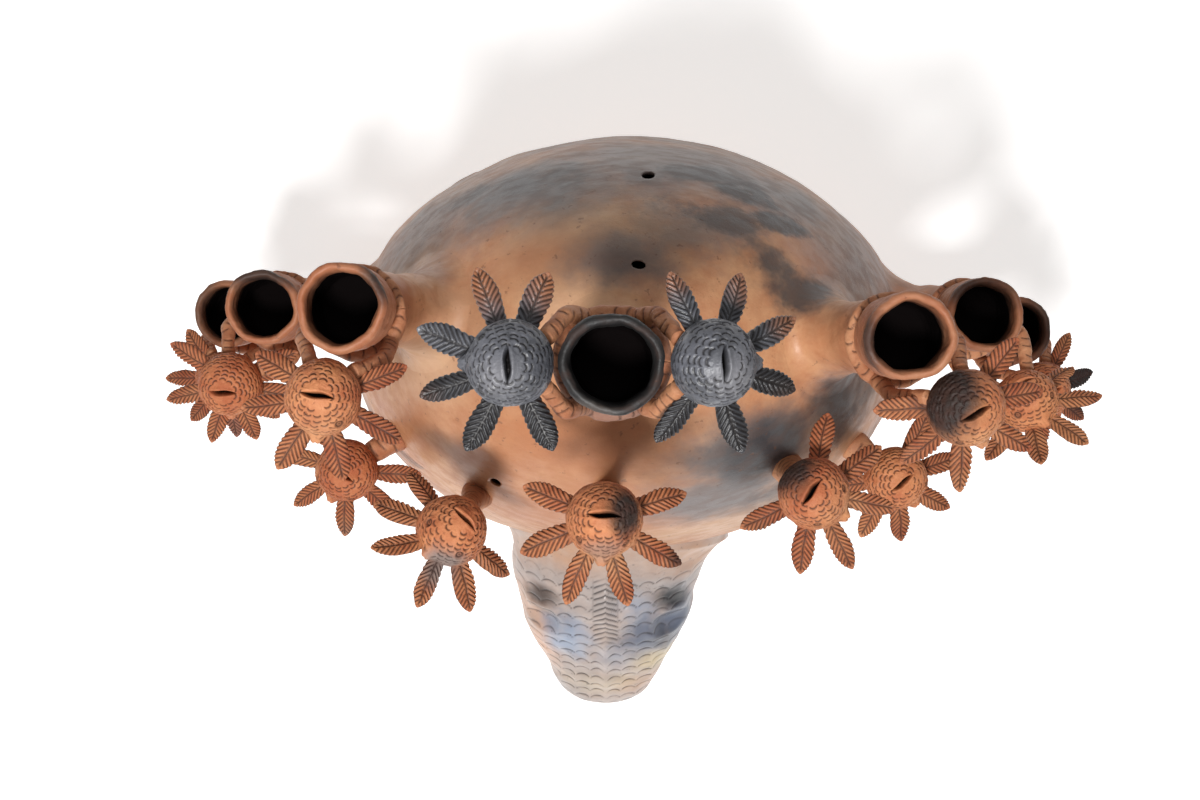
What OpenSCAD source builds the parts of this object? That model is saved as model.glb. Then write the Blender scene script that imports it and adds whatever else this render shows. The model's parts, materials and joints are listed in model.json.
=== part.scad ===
// Clay tree of life: a round-bodied, scaly-snouted animal whose back carries
// seven candle cups on hollow tubes and thirteen bird heads set in leaves.
// Millimetres. +Z is up and the animal looks along -Y. The origin is on the
// floor, under the middle of the whole object.

/* [Body] */
// Width of the hollow body, side to side
body_w = 340; // [300:5:410]
// Depth of the hollow body, front to back
body_d = 254; // [225:1:305]
// Height of the dome above the waist seam
dome_h = 225; // [187:1:270]
// Depth of the belly bowl below the waist seam
bowl_h = 95; // [80:1:114]
// Height of the waist seam above the floor
waist_z = 150; // [136:1:180]
// Wall of the dome and the bowl
body_wall = 8; // [6:0.1:12]
// Radius of the firing vents in the dome
vent_r = 3; // [2:0.1:5]

/* [Candle cups] */
// Radius of the candle bore in each cup
bore_r = 15.5; // [11:0.1:18.6]
// Depth of the candle bore
bore_depth = 38; // [25:0.5:50]
// Clay around the candle bore
cup_wall = 4.5; // [3:0.1:7]
// Clay under the candle bore
cup_floor = 7; // [5:0.1:12]

/* [Tree] */
// Height of the top cup's rim above the dome's crown
rise_top = 155; // [129:1:186]
// Height of the upper cups' rims above the dome's crown
rise_upper = 70; // [58:1:84]
// Height of the middle cups' rims above the waist seam
rise_middle = 160; // [133:1:192]
// Height of the lower cups' rims above the waist seam
rise_lower = 50; // [41:1:60]
// Distance of the upper cups inside the body's side
inset_upper = 45; // [37:1:54]
// Distance of the middle cups outside the body's side
out_middle = 21; // [17:1:30]
// Distance of the lower cups outside the body's side
out_lower = 68; // [56:1:82]
// Outer radius of the trunk and the tubes
tube_r = 18; // [15:0.1:21.6]
// Wall of the trunk and the tubes
tube_wall = 5; // [4:0.1:7]
// Bend radius of a tube's elbow, at its middle line
elbow_r = 26; // [24:0.5:34]
// Width that a tube gains where it is smeared onto the body
root_flare = 9; // [5:0.5:12]

/* [Birds] */
// Radius of a bird's round head
bird_r = 18; // [15:0.1:21.6]
// Wall of a bird's head
bird_wall = 4; // [3:0.1:6]
// Length of the vent slit in a bird's crown
slit_l = 13; // [8:0.5:16]
// Width of the vent slit
slit_w = 2.2; // [1.5:0.1:3]
// Length of a bird's beak
beak_l = 4; // [2:0.5:6]
// Radius of a stamped eye
eye_r = 1.6; // [1:0.1:2.4]
// Number of leaves around a bird
leaf_count = 6; // [4:1:7]
// Length of a leaf outside the bird's head
leaf_l = 23; // [18:0.5:28]
// Width of a leaf
leaf_w = 12; // [9:0.5:14]
// Thickness of a leaf
leaf_t = 4; // [3:0.5:5]
// How far a leaf droops, in degrees
leaf_droop = 14; // [5:1:25]
// Radius of the clay coils that carry the birds
coil_r = 5.5; // [4:0.1:6.6]

/* [Animal] */
// How far the snout reaches in front of the body
snout_reach = 115; // [96:1:138]
// Half of the head's width at its root
head_r = 59; // [49:1:66]
// Half of the snout's width at its tip
snout_r = 28; // [24:1:34]
// Height of the head as a share of its width
head_flat = 0.76; // [0.65:0.01:0.9]
// How steeply the head slopes down, in degrees
head_slope = 30; // [25:1:36]
// Wall of the hollow head
head_wall = 8; // [6:0.5:11]
// Radius of a foot at the floor
foot_r = 28; // [23:0.5:33.6]
// Radius of a leg where it meets the belly
leg_r = 38; // [31:0.5:46]
// Wall of a hollow leg
leg_wall = 8; // [6:0.5:12]
// Distance of the feet from the body's middle, sideways
feet_x = 80; // [66:1:96]
// Distance of the feet from the body's middle, front to back
feet_y = 58; // [48:1:70]

/* [Hidden] */
$fn = 64;
form_fn = 160;
// Clearance left between two pieces that are luted together.
seam = 0.15;
// Far enough to pass right through the body.
through = 2 * dome_h;
// The body's middle stands behind the origin, because the snout reaches forward,
// and a little to its left, because the right side's birds reach out further.
body_y = snout_reach / 2;
body_x = -3;
crown_z = waist_z + dome_h;
// The tree and the head were set by hand, a little left of the body's middle.
trunk_x = body_x - 9;
trunk_y = body_y - 5;
tree_x = body_x - 3;
head_x = body_x - 13;

cup_r = bore_r + cup_wall;
cup_h = bore_depth + cup_floor;
rim_round = 3;
spigot_h = 6;
// Straight stretch of a tube below its cup, which the carrying coil wraps.
collar_h = 2 * coil_r + 4;
coil_z = -coil_r - 1;
hoop_r = tube_r + 0.6 * coil_r;
arm_r = coil_r - 0.7;
root_l = 28;
lap = 2;
lap_step = 0.3;
// Steam holes through the body wall under each tube.
steam_r = 4;

// Side tubes: [distance outside the body's side, rim height, elbow turn in
// degrees, distance of the bird's middle below the rim]
TIERS = [
    [-inset_upper, crown_z + rise_upper, 20, 12],
    [out_middle, waist_z + rise_middle, 45, 28],
    [out_lower, waist_z + rise_lower, 88, 16]
];
// How far each side tube stands behind the body's middle, upper tube first.
BACK_LEFT = [18, 20, 18];
BACK_RIGHT = [5, 16, 8];
// The side tubes' birds, upper tube first: [how far the bird stands turned
// outwards from the front of its cup, room between bird and cup, how far it
// looks outwards from the front, how far it leans forward]. Angles in degrees.
BIRDS_LEFT = [[14, 3, 10, -5], [30, 10, 4, 15], [8, 3, 20, 8]];
BIRDS_RIGHT = [[40, 3, 28, 8], [32, 17, 30, -45], [27, 3, 34, 8]];
top_drop = 18;
top_room = 2;

// Birds on the dome: [turn from the front and rise above the waist of the
// stem's foot, how far the stem leans outwards from upright, distance of the
// bird's middle from the foot, how far it looks outwards from the front, how
// far it leans forward]
BREAST = [-7, 53, 0, 110, -4, -14];
SHOULDER_LEFT = [37, 36, 5, 95, 47, -40];
SHOULDER_RIGHT = [44, 45, 5, 77, 54, -14];
FLANK_LEFT = [62, 29, 69, 33, 30, 4];
FLANK_RIGHT = [59, 29, 68, 29, 39, 5];
stem_r = coil_r;
stem_root_r = 7.5;
stem_root_l = 26;

// The leaves leave the back of a bird bare, where its coil or stem comes in.
leaf_fan = 230;
leaf_drop = 5;
leaf_root = 6;
beak_r = 3.4;
eye_turn = 45;
eye_rise = 28;
eye_depth = 1.2;

// Firing vents in the dome, from the body's middle.
VENTS = [[10, 89], [4, 40], [-71, -73]];
foot_hollow = 60;
head_root = 70;
// How long the head keeps its full width before it tapers to the snout.
head_full = 5.3;

// ---- Places ----

function tier_back(side, tier) = side < 0 ? BACK_LEFT[tier] : BACK_RIGHT[tier];
function tier_bird(side, tier) = side < 0 ? BIRDS_LEFT[tier] : BIRDS_RIGHT[tier];

// Middle of a side cup's rim.
function rim_at(side, tier) = [
    tree_x + side * (body_w / 2 + TIERS[tier][0]),
    body_y + tier_back(side, tier),
    TIERS[tier][1]
];
function top_rim() = [trunk_x, trunk_y, crown_z + rise_top];

// Direction that a bird faces, turned outwards from the front.
function facing(side, turn) = side * turn - 90;

// A bird's seat is [the middle of its head, its facing, its lean].
function tube_seat(side, tier) = let (
    rim = rim_at(side, tier),
    own = tier_bird(side, tier),
    face = facing(side, own[0]),
    off = cup_r + bird_r + own[1]
) [
    [rim[0] + off * cos(face), rim[1] + off * sin(face), rim[2] - TIERS[tier][3]],
    facing(side, own[2]),
    own[3]
];

function top_seat(side) = [
    [trunk_x + side * (cup_r + bird_r + top_room), trunk_y, top_rim()[2] - top_drop],
    facing(side, 90),
    side < 0 ? 0 : 12
];

// A point of the dome's skin and its outward direction, from the body's middle.
function skin(side, spot) = [
    side * sin(spot[0]) * cos(spot[1]) * body_w / 2,
    -cos(spot[0]) * cos(spot[1]) * body_d / 2,
    sin(spot[1]) * dome_h
];
function outward(p) = let (
    n = [p[0] / pow(body_w, 2), p[1] / pow(body_d, 2), p[2] / pow(2 * dome_h, 2)]
) n / norm(n);
function stem_way(side, spot) = let (
    n = outward(skin(side, spot)),
    out = [n[0], n[1], 0]
) sin(spot[2]) * out / norm(out) + [0, 0, cos(spot[2])];
function dome_seat(side, spot) = [
    [body_x, body_y, waist_z] + skin(side, spot) + stem_way(side, spot) * spot[3],
    facing(side, spot[4]),
    spot[5]
];

// Where a tube's straight run starts, and how far it runs to the body's skin.
// Both are in the tube's own plane, from its top: [inwards, down].
function elbow_end(turn) =
    [elbow_r * (1 - cos(turn)), collar_h + elbow_r * sin(turn)];
function tube_top(side, tier) = rim_at(side, tier) - [0, 0, cup_h + seam];
function run_length(side, tier) = let (
    turn = TIERS[tier][2],
    top = tube_top(side, tier),
    start = elbow_end(turn),
    x = side * (top[0] - body_x) - start[0],
    y = tier_back(side, tier),
    z = top[2] - start[1] - waist_z,
    tall = z > 0 ? dome_h : bowl_h,
    a = pow(2 * sin(turn) / body_w, 2) + pow(cos(turn) / tall, 2),
    b = -4 * x * sin(turn) / pow(body_w, 2) - z * cos(turn) / pow(tall, 2),
    c = pow(2 * x / body_w, 2) + pow(2 * y / body_d, 2) + pow(z / tall, 2) - 1
) (-b - sqrt(max(0, b * b - a * c))) / a;

// ---- Shapes ----

module dome_form(grow = 0) {
    translate([body_x, body_y, waist_z])
        scale([body_w / 2 + grow, body_d / 2 + grow, dome_h + grow]) sphere(r = 1, $fn = form_fn);
}

module bowl_form(grow = 0) {
    translate([body_x, body_y, waist_z])
        scale([body_w / 2 + grow, body_d / 2 + grow, bowl_h + grow]) sphere(r = 1, $fn = form_fn);
}

// All that lies above the waist seam, from a height given from the seam.
module above_waist(from) {
    translate([body_x - through, body_y - through, waist_z + from])
        cube([2 * through, 2 * through, 2 * through]);
}

module below_waist(to) {
    translate([body_x - through, body_y - through, waist_z + to - 2 * through])
        cube([2 * through, 2 * through, 2 * through]);
}

// Puts children at a side tube's top, with +X outwards.
module at_tube(side, tier) {
    translate(tube_top(side, tier)) rotate([0, 0, 90 * (1 - side)]) children();
}

// Puts children at the start of a tube's straight run, which goes along -Z.
module along_run(turn) {
    translate([-elbow_end(turn)[0], 0, -elbow_end(turn)[1]]) rotate([0, turn, 0]) children();
}

// The tube's middle line, thickened to radius r: collar, elbow and run. The
// straight stretches lap over the elbow and are a little thicker.
module tube_line(r, turn, run, flare, above) {
    translate([0, 0, -collar_h - lap])
        cylinder(r = r + lap_step, h = collar_h + lap + above);
    translate([-elbow_r, 0, -collar_h]) rotate([-90, 0, 0])
        rotate_extrude(angle = turn) translate([elbow_r, 0]) circle(r = r);
    along_run(turn) mirror([0, 0, 1]) rotate_extrude() polygon([
        [0, -lap],
        [r + lap_step, -lap],
        [r + lap_step, max(1, run - root_l)],
        [r + lap_step + flare, run + root_l / 4],
        [r + lap_step + flare, run + 2 * root_l],
        [0, run + 2 * root_l]
    ]);
}

// A side tube, still uncut by the body.
module tube_blank(side, tier) {
    turn = TIERS[tier][2];
    run = run_length(side, tier);
    at_tube(side, tier) difference() {
        tube_line(tube_r, turn, run, root_flare, 0);
        tube_line(tube_r - tube_wall, turn, run + 2 * root_l, 0, lap);
    }
}

module steam_hole(side, tier) {
    turn = TIERS[tier][2];
    at_tube(side, tier) along_run(turn)
        translate([0, 0, -run_length(side, tier) - 3 * body_wall])
            cylinder(r = steam_r, h = 5 * body_wall);
}

module cup(rim) {
    turned = [
        [0, 0],
        [tube_r, 0],
        [cup_r, cup_floor],
        for (a = [0 : 15 : 90])
            [cup_r - rim_round * (1 - cos(a)), cup_h - rim_round * (1 - sin(a))],
        [bore_r, cup_h],
        [bore_r, cup_floor],
        [0, cup_floor]
    ];
    color("sienna") translate(rim - [0, 0, cup_h]) {
        rotate_extrude() polygon(turned);
        translate([0, 0, -spigot_h]) cylinder(r = tube_r - tube_wall - seam, h = spigot_h + 1);
    }
}

// A coil wrapped round the tube under a cup, with one arm to each bird.
module wrapped_coil(top, seats) {
    color("sienna") difference() {
        union() {
            translate(top + [0, 0, coil_z]) rotate_extrude() translate([hoop_r, 0]) circle(r = coil_r);
            for (seat = seats) {
                aside = [seat[0][0] - top[0], seat[0][1] - top[1], 0];
                rod(top + [0, 0, coil_z] + hoop_r * aside / norm(aside), seat[0], arm_r);
            }
        }
        translate(top - [0, 0, collar_h]) cylinder(r = tube_r + lap_step + seam, h = 2 * collar_h);
        translate(top) cylinder(r = cup_r + seam, h = cup_h);
        for (seat = seats) translate(seat[0]) sphere(r = bird_r + seam);
    }
}

// A round rod between two points.
module rod(from, to, r) {
    d = to - from;
    translate(from) rotate([0, acos(d[2] / norm(d)), atan2(d[1], d[0])])
        cylinder(r = r, h = norm(d));
}

// A coil that stands on the dome and carries a bird.
module stem(side, spot) {
    n = stem_way(side, spot);
    bird = dome_seat(side, spot)[0];
    l = spot[3] + stem_root_l;
    turned = [
        [0, 0],
        [2 * stem_root_r - stem_r, 0],
        [stem_r, 2 * stem_root_l],
        [stem_r, l],
        [0, l]
    ];
    color("sienna") difference() {
        translate(bird - n * l) rotate([0, acos(n[2]), atan2(n[1], n[0])])
            rotate_extrude() polygon(turned);
        dome_form(seam);
        translate([trunk_x, trunk_y, 0]) cylinder(r = tube_r + root_flare + seam, h = crown_z + root_l);
        translate(bird) sphere(r = bird_r + seam);
    }
}

// Puts children in a bird's own frame: +X is where it looks, +Z its crown.
module at_seat(seat) {
    translate(seat[0]) rotate([0, 0, seat[1]]) rotate([0, seat[2], 0]) children();
}

module bird(seat, tone = "sienna") {
    color(tone) at_seat(seat) difference() {
        union() {
            sphere(r = bird_r);
            translate([bird_r - 2, 0, 0]) rotate([0, 90, 0])
                cylinder(r1 = beak_r, r2 = beak_r / 3, h = beak_l + 2);
        }
        sphere(r = bird_r - bird_wall);
        translate([-slit_w / 2, -slit_l / 2, 0]) cube([slit_w, slit_l, 2 * bird_r]);
        for (side = [-1, 1]) rotate([0, -eye_rise, side * eye_turn])
            translate([bird_r - eye_depth, 0, 0]) rotate([0, 90, 0])
                cylinder(r = eye_r, h = 2 * eye_depth);
    }
}

// Two arcs that meet in a point at the leaf's root and at its tip.
module leaf_outline(length, width) {
    r = (pow(length, 2) + pow(width, 2)) / (4 * width);
    intersection() {
        translate([length / 2, r - width / 2]) circle(r = r);
        translate([length / 2, width / 2 - r]) circle(r = r);
    }
}

module leaves(seat, tone = "sienna") {
    color(tone) for (i = [0 : leaf_count - 1])
        at_seat(seat) difference() {
            rotate([0, 0, leaf_fan * (i / (leaf_count - 1) - 0.5)])
                translate([bird_r - leaf_root, 0, -leaf_drop]) rotate([0, leaf_droop, 0])
                    translate([0, 0, -leaf_t / 2]) linear_extrude(leaf_t)
                        leaf_outline(leaf_l + leaf_root, leaf_w);
            sphere(r = bird_r + seam);
        }
}

// ---- Body ----

module dome_shell() {
    color("peru") difference() {
        intersection() {
            difference() {
                dome_form();
                dome_form(-body_wall);
            }
            above_waist(seam / 2);
        }
        translate([trunk_x, trunk_y, waist_z]) cylinder(r = steam_r, h = through);
        for (side = [-1, 1], tier = [0, 1]) steam_hole(side, tier);
        for (vent = VENTS) translate([body_x + vent[0], body_y + vent[1], waist_z])
            cylinder(r = vent_r, h = through);
    }
}

module belly_bowl() {
    color("peru") difference() {
        intersection() {
            difference() {
                bowl_form();
                bowl_form(-body_wall);
            }
            below_waist(-seam / 2);
        }
        for (side = [-1, 1]) steam_hole(side, 2);
    }
}

// Half of the head's outline, from its root to the tip of the snout.
function head_outline(off) = [
    [0, 0],
    for (i = [0 : 0.1 : 1]) let (t = sqrt(i), l = head_root + head_run() - snout_r)
        [head_r - off - (head_r - snout_r) * pow(t, head_full), t * l],
    for (a = [15 : 15 : 90]) let (l = head_root + head_run() - snout_r)
        [(snout_r - off) * cos(a), l + (snout_r - off) * sin(a)]
];
function head_run() = snout_reach / cos(head_slope);

module head_form(off) {
    translate([head_x, body_y - body_d / 2, waist_z]) rotate([90 + head_slope, 0, 0])
        translate([0, 0, -head_root]) scale([1, head_flat, 1])
            rotate_extrude() polygon(head_outline(off));
}

module animal_head() {
    color("rosybrown") difference() {
        head_form(0);
        head_form(head_wall);
        intersection() {
            dome_form(seam);
            above_waist(0);
        }
        intersection() {
            bowl_form(seam);
            below_waist(0);
        }
    }
}

module leg(side, end) {
    color("peru") difference() {
        translate([body_x + side * feet_x, body_y + end * feet_y, 0]) difference() {
            cylinder(r1 = foot_r, r2 = leg_r, h = waist_z - 5);
            translate([0, 0, -1]) cylinder(r = foot_r - leg_wall, h = foot_hollow + 1);
        }
        bowl_form(seam);
    }
}

// ---- Tree ----

module trunk() {
    top = top_rim() - [0, 0, cup_h + seam];
    tall = top[2] - crown_z;
    turned = [
        [tube_r - tube_wall, -root_l],
        [tube_r + root_flare, -root_l],
        [tube_r + root_flare, -root_l / 4],
        [tube_r, root_l],
        [tube_r, tall],
        [tube_r - tube_wall, tall]
    ];
    color("sienna") difference() {
        translate([trunk_x, trunk_y, crown_z]) rotate_extrude() polygon(turned);
        dome_form(seam);
    }
}

module tube(side, tier) {
    color("peru") difference() {
        tube_blank(side, tier);
        if (tier < 2) dome_form(seam);
        else bowl_form(seam);
    }
}

module side_coils(side) {
    for (tier = [0 : 2]) wrapped_coil(tube_top(side, tier), [tube_seat(side, tier)]);
}

module side_stems(side) {
    stem(side, side < 0 ? SHOULDER_LEFT : SHOULDER_RIGHT);
    stem(side, side < 0 ? FLANK_LEFT : FLANK_RIGHT);
}

dome_shell();
belly_bowl();
animal_head();
leg(-1, -1);  // leg_front_left
leg(1, -1);  // leg_front_right
leg(-1, 1);  // leg_back_left
leg(1, 1);  // leg_back_right
trunk();
tube(-1, 0);  // tube_left_upper
tube(-1, 1);  // tube_left_middle
tube(-1, 2);  // tube_left_lower
tube(1, 0);  // tube_right_upper
tube(1, 1);  // tube_right_middle
tube(1, 2);  // tube_right_lower
cup(top_rim());  // cup_top
cup(rim_at(-1, 0));  // cup_left_upper
cup(rim_at(-1, 1));  // cup_left_middle
cup(rim_at(-1, 2));  // cup_left_lower
cup(rim_at(1, 0));  // cup_right_upper
cup(rim_at(1, 1));  // cup_right_middle
cup(rim_at(1, 2));  // cup_right_lower
wrapped_coil(top_rim() - [0, 0, cup_h + seam], [top_seat(-1), top_seat(1)]);  // coil_top
side_coils(-1);  // coils_left
side_coils(1);  // coils_right
stem(1, BREAST);  // stem_breast
side_stems(-1);  // stems_left
side_stems(1);  // stems_right
bird(top_seat(-1), "dimgray");  // bird_top_left
bird(top_seat(1), "dimgray");  // bird_top_right
bird(dome_seat(1, BREAST));  // bird_breast
bird(tube_seat(-1, 0));  // bird_left_upper
bird(tube_seat(-1, 1));  // bird_left_middle
bird(tube_seat(-1, 2));  // bird_left_lower
bird(dome_seat(-1, SHOULDER_LEFT));  // bird_left_shoulder
bird(dome_seat(-1, FLANK_LEFT));  // bird_left_flank
bird(tube_seat(1, 0));  // bird_right_upper
bird(tube_seat(1, 1));  // bird_right_middle
bird(tube_seat(1, 2));  // bird_right_lower
bird(dome_seat(1, SHOULDER_RIGHT));  // bird_right_shoulder
bird(dome_seat(1, FLANK_RIGHT));  // bird_right_flank
leaves(top_seat(-1), "dimgray");  // leaves_top_left
leaves(top_seat(1), "dimgray");  // leaves_top_right
leaves(dome_seat(1, BREAST));  // leaves_breast
leaves(tube_seat(-1, 0));  // leaves_left_upper
leaves(tube_seat(-1, 1));  // leaves_left_middle
leaves(tube_seat(-1, 2));  // leaves_left_lower
leaves(dome_seat(-1, SHOULDER_LEFT));  // leaves_left_shoulder
leaves(dome_seat(-1, FLANK_LEFT));  // leaves_left_flank
leaves(tube_seat(1, 0));  // leaves_right_upper
leaves(tube_seat(1, 1));  // leaves_right_middle
leaves(tube_seat(1, 2));  // leaves_right_lower
leaves(dome_seat(1, SHOULDER_RIGHT));  // leaves_right_shoulder
leaves(dome_seat(1, FLANK_RIGHT));  // leaves_right_flank
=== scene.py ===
"""Clay tree of life: a burnished, scaly-snouted animal whose back carries seven
candle cups on tubes and thirteen bird heads in incised leaves. Sizes that a user
would change stand in the property groups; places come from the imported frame."""

import functools
import json
import math

import bpy
import numpy as np
from mathutils import Matrix, Vector


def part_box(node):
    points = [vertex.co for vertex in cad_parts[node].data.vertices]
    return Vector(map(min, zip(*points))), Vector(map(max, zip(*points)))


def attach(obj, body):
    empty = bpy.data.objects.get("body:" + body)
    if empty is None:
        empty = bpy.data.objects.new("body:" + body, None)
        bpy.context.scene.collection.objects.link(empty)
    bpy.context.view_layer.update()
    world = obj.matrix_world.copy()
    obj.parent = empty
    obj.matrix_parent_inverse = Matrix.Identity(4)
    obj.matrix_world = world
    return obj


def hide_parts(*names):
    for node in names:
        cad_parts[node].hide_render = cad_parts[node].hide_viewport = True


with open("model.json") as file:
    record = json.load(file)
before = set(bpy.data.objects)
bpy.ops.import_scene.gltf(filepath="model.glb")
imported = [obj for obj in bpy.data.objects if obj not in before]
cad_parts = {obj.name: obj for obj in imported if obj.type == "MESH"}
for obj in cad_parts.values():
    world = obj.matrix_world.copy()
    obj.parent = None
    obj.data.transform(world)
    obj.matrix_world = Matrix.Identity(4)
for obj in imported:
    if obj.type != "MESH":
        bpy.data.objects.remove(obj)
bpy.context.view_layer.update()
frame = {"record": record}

bl_info = {
    "name": "Clay tree of life",
    "version": (1, 0, 0),
    "blender": (4, 5, 0),
    "location": "View3D > Sidebar > Clay tree",
    "description": "Builds the looks of a hand-built clay candle tree around its frame",
    "category": "Object",
}

MM = 0.001
SIDES = {"left": -1, "right": 1}
TIERS = ("upper", "middle", "lower")
# How far each tier's tube turns inwards below its cup, in degrees.
TUBE_TURN = {"upper": 20, "middle": 45, "lower": 88}
# Where a bird looks (0 is +X, -90 the front) and how far it leans forward.
BIRDS = {
    "top_left": (-180, 0),
    "top_right": (0, 12),
    "breast": (-94, -14),
    "left_upper": (-100, -5),
    "left_middle": (-94, 15),
    "left_lower": (-110, 8),
    "right_upper": (-62, 8),
    "right_middle": (-60, -45),
    "right_lower": (-56, 8),
    "left_shoulder": (-137, -40),
    "right_shoulder": (-36, -14),
    "left_flank": (-120, 4),
    "right_flank": (-51, 5),
}
# Where a bird's six leaves point, in degrees from the way it looks.
LEAF_TURNS = (-115, -69, -23, 23, 69, 115)
# How far a bird's eyes stand from its beak, sideways and up, in radians.
EYE_TURN, EYE_RISE = 0.785, 0.49
# The dome's firing vents: place in mm from the body's middle, how oblong, and
# how far turned, in radians.
VENTS = ((10, 89, 1.7, 0.1), (4, 40, 1.7, -0.15), (-71, -73, 1.5, -0.5))
# Where each stem's foot stands on the dome: degrees round from the front, and up.
STEMS = {
    "breast": (-7, 53, 1),
    "left_shoulder": (37, 36, -1),
    "left_flank": (62, 29, -1),
    "right_shoulder": (44, 45, 1),
    "right_flank": (59, 29, 1),
}


# ---- Sizes and colours ----


def length(name, description, millimetres):
    return bpy.props.FloatProperty(
        name=name, description=description, default=millimetres * MM, unit="LENGTH"
    )


def tint(name, description, colour):
    return bpy.props.FloatVectorProperty(
        name=name, description=description, default=colour, size=3, subtype="COLOR", min=0, max=1
    )


class ClaySizes(bpy.types.PropertyGroup):
    """Sizes of the modelled clay, in metres."""

    wall: length("Wall", "Thickness of the dome and the bowl", 8)
    fillet: length("Root fillet", "Width of the smeared clay at a tube's root", 17)
    tube: length("Tube", "Radius of the tubes and the trunk", 18)
    cup: length("Cup", "Outer radius of a candle cup", 20)
    bore: length("Bore", "Radius of a candle bore", 15.5)
    cup_height: length("Cup height", "Height of a candle cup", 45)
    coil: length("Coil", "Radius of the hand-rolled coils", 4.4)
    bird: length("Bird", "Radius of a bird's head", 18)
    scale_row: length("Scale row", "Distance between rows of scratched scales on a bird", 2.75)
    leaf: length("Leaf", "Length of a leaf from inside the bird's head", 29)
    leaf_width: length("Leaf width", "Width of a leaf", 12)
    vein_gap: length("Vein gap", "Distance between the scratched veins of a leaf", 2.7)
    snout_scale: length("Snout scale", "Width of a scratched scale on the snout", 10)


class ClayColours(bpy.types.PropertyGroup):
    """Colours of the fired clay."""

    orange: tint("Orange clay", "Body of the burnished clay", (0.42, 0.175, 0.080))
    cream: tint("Cream clay", "Lighter burnished clay", (0.56, 0.30, 0.155))
    pale: tint("Pale clay", "Palest burnished clay", (0.62, 0.42, 0.27))
    brown: tint("Brown clay", "Matte tubes, coils and leaves", (0.33, 0.108, 0.046))
    smoke: tint("Smoke", "Grey fire clouds", (0.120, 0.124, 0.130))
    # Black also paints, through the soot marks, partly the shade inside the cups' bores.
    black: tint("Black", "Deepest smoke and soot", (0.010, 0.009, 0.009))
    # The cut brown also paints the shade at the leaves' bases and rims.
    cut: tint("Cut", "Brown in the scratched lines", (0.030, 0.009, 0.005))
    snout: tint("Snout", "Pale pink of the snout", (0.50, 0.395, 0.34))
    blue: tint("Blue smoke", "Blue-grey smoke on the snout", (0.12, 0.14, 0.19))


class StageSettings(bpy.types.PropertyGroup):
    """Camera and lights."""

    camera_height: length("Camera height", "Height of the camera above the floor", 1101)
    lens: bpy.props.FloatProperty(
        name="Lens", description="Focal length in millimetres", default=45.0
    )
    key: bpy.props.FloatProperty(
        name="Key light", description="Strength of the front light", default=36.0, subtype="POWER"
    )
    fill: bpy.props.FloatProperty(
        name="Fill light", description="Strength of the overhead light", default=9.0, subtype="POWER"
    )
    floor_glow: bpy.props.FloatProperty(
        name="Floor glow", description="How much the lit table itself shines", default=0.5
    )
    world: bpy.props.FloatProperty(
        name="Room light", description="Strength of the room's light", default=0.16
    )


def sizes():
    return bpy.context.scene.clay_sizes


def colours():
    return bpy.context.scene.clay_colours


# ---- Points and meshes ----


def deselect():
    if bpy.context.object and bpy.context.object.mode != "OBJECT":
        bpy.ops.object.mode_set(mode="OBJECT")
    bpy.ops.object.select_all(action="DESELECT")


def choose(obj):
    deselect()
    obj.select_set(True)
    bpy.context.view_layer.objects.active = obj


def points_of(obj):
    flat = np.empty(len(obj.data.vertices) * 3)
    obj.data.vertices.foreach_get("co", flat)
    return flat.reshape(-1, 3)


def move_points(obj, points):
    obj.data.vertices.foreach_set("co", np.ascontiguousarray(points, float).ravel())
    obj.data.update()


def mark(obj, name, values):
    """Stores one number per point, which the clay reads."""
    layer = obj.data.attributes.get(name) or obj.data.attributes.new(name, "FLOAT", "POINT")
    layer.data.foreach_set("value", np.clip(values, 0, 1).astype(np.float32))


def apply_modifier(obj, kind, **settings):
    choose(obj)
    modifier = obj.modifiers.new(kind.title(), kind)
    for key, value in settings.items():
        setattr(modifier, key, value)
    bpy.ops.object.modifier_apply(modifier=modifier.name)


def face_outwards(obj):
    choose(obj)
    bpy.ops.object.mode_set(mode="EDIT")
    bpy.ops.mesh.select_all(action="SELECT")
    bpy.ops.mesh.normals_make_consistent(inside=False)
    bpy.ops.object.mode_set(mode="OBJECT")


def waves(points, size, seed, layers=3):
    """Smooth unevenness from about -1 to 1, its widest swells one size apart."""
    rng = np.random.default_rng(seed)
    total = np.zeros(len(points))
    for layer in range(layers):
        ways = rng.normal(size=(3, 10))
        ways *= 2 * math.pi / size * 2**layer / np.linalg.norm(ways, axis=0)
        phases = rng.uniform(0, 2 * math.pi, 10)
        total += np.sin(points @ ways + phases).sum(1) / 10**0.5 * 0.55**layer
    return np.tanh(total)


def seed_of(name):
    """A number that is always the same for a name."""
    return sum(map(ord, name))


def smooth(low, high, values):
    """0 at low, 1 at high, with soft ends."""
    part = np.clip((values - low) / (high - low), 0, 1)
    return part * part * (3 - 2 * part)


def groove(distance, half_width):
    """1 on a line, falling softly to 0 beside it."""
    return np.exp(-((distance / half_width) ** 2))


def loft(name, loops):
    """A closed skin through equal loops, with a fan at each end."""
    count, around = loops.shape[:2]
    ends = np.stack([loops[0].mean(0), loops[-1].mean(0)])
    points = np.vstack([loops.reshape(-1, 3), ends])
    row, col = np.meshgrid(np.arange(count - 1), np.arange(around), indexing="ij")
    after = (col + 1) % around
    sides = np.stack(
        [row * around + col, row * around + after, (row + 1) * around + after, (row + 1) * around + col],
        -1,
    ).reshape(-1, 4)
    step = np.arange(around)
    turned = (step + 1) % around
    first, last = count * around, count * around + 1
    base = (count - 1) * around
    fans = [(first, b, a) for a, b in zip(step.tolist(), turned.tolist())]
    fans += [(last, base + a, base + b) for a, b in zip(step.tolist(), turned.tolist())]
    mesh = bpy.data.meshes.new(name)
    mesh.from_pydata(points.tolist(), [], sides.tolist() + fans)
    obj = bpy.data.objects.new(name, mesh)
    bpy.context.scene.collection.objects.link(obj)
    face_outwards(obj)
    return obj


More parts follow.
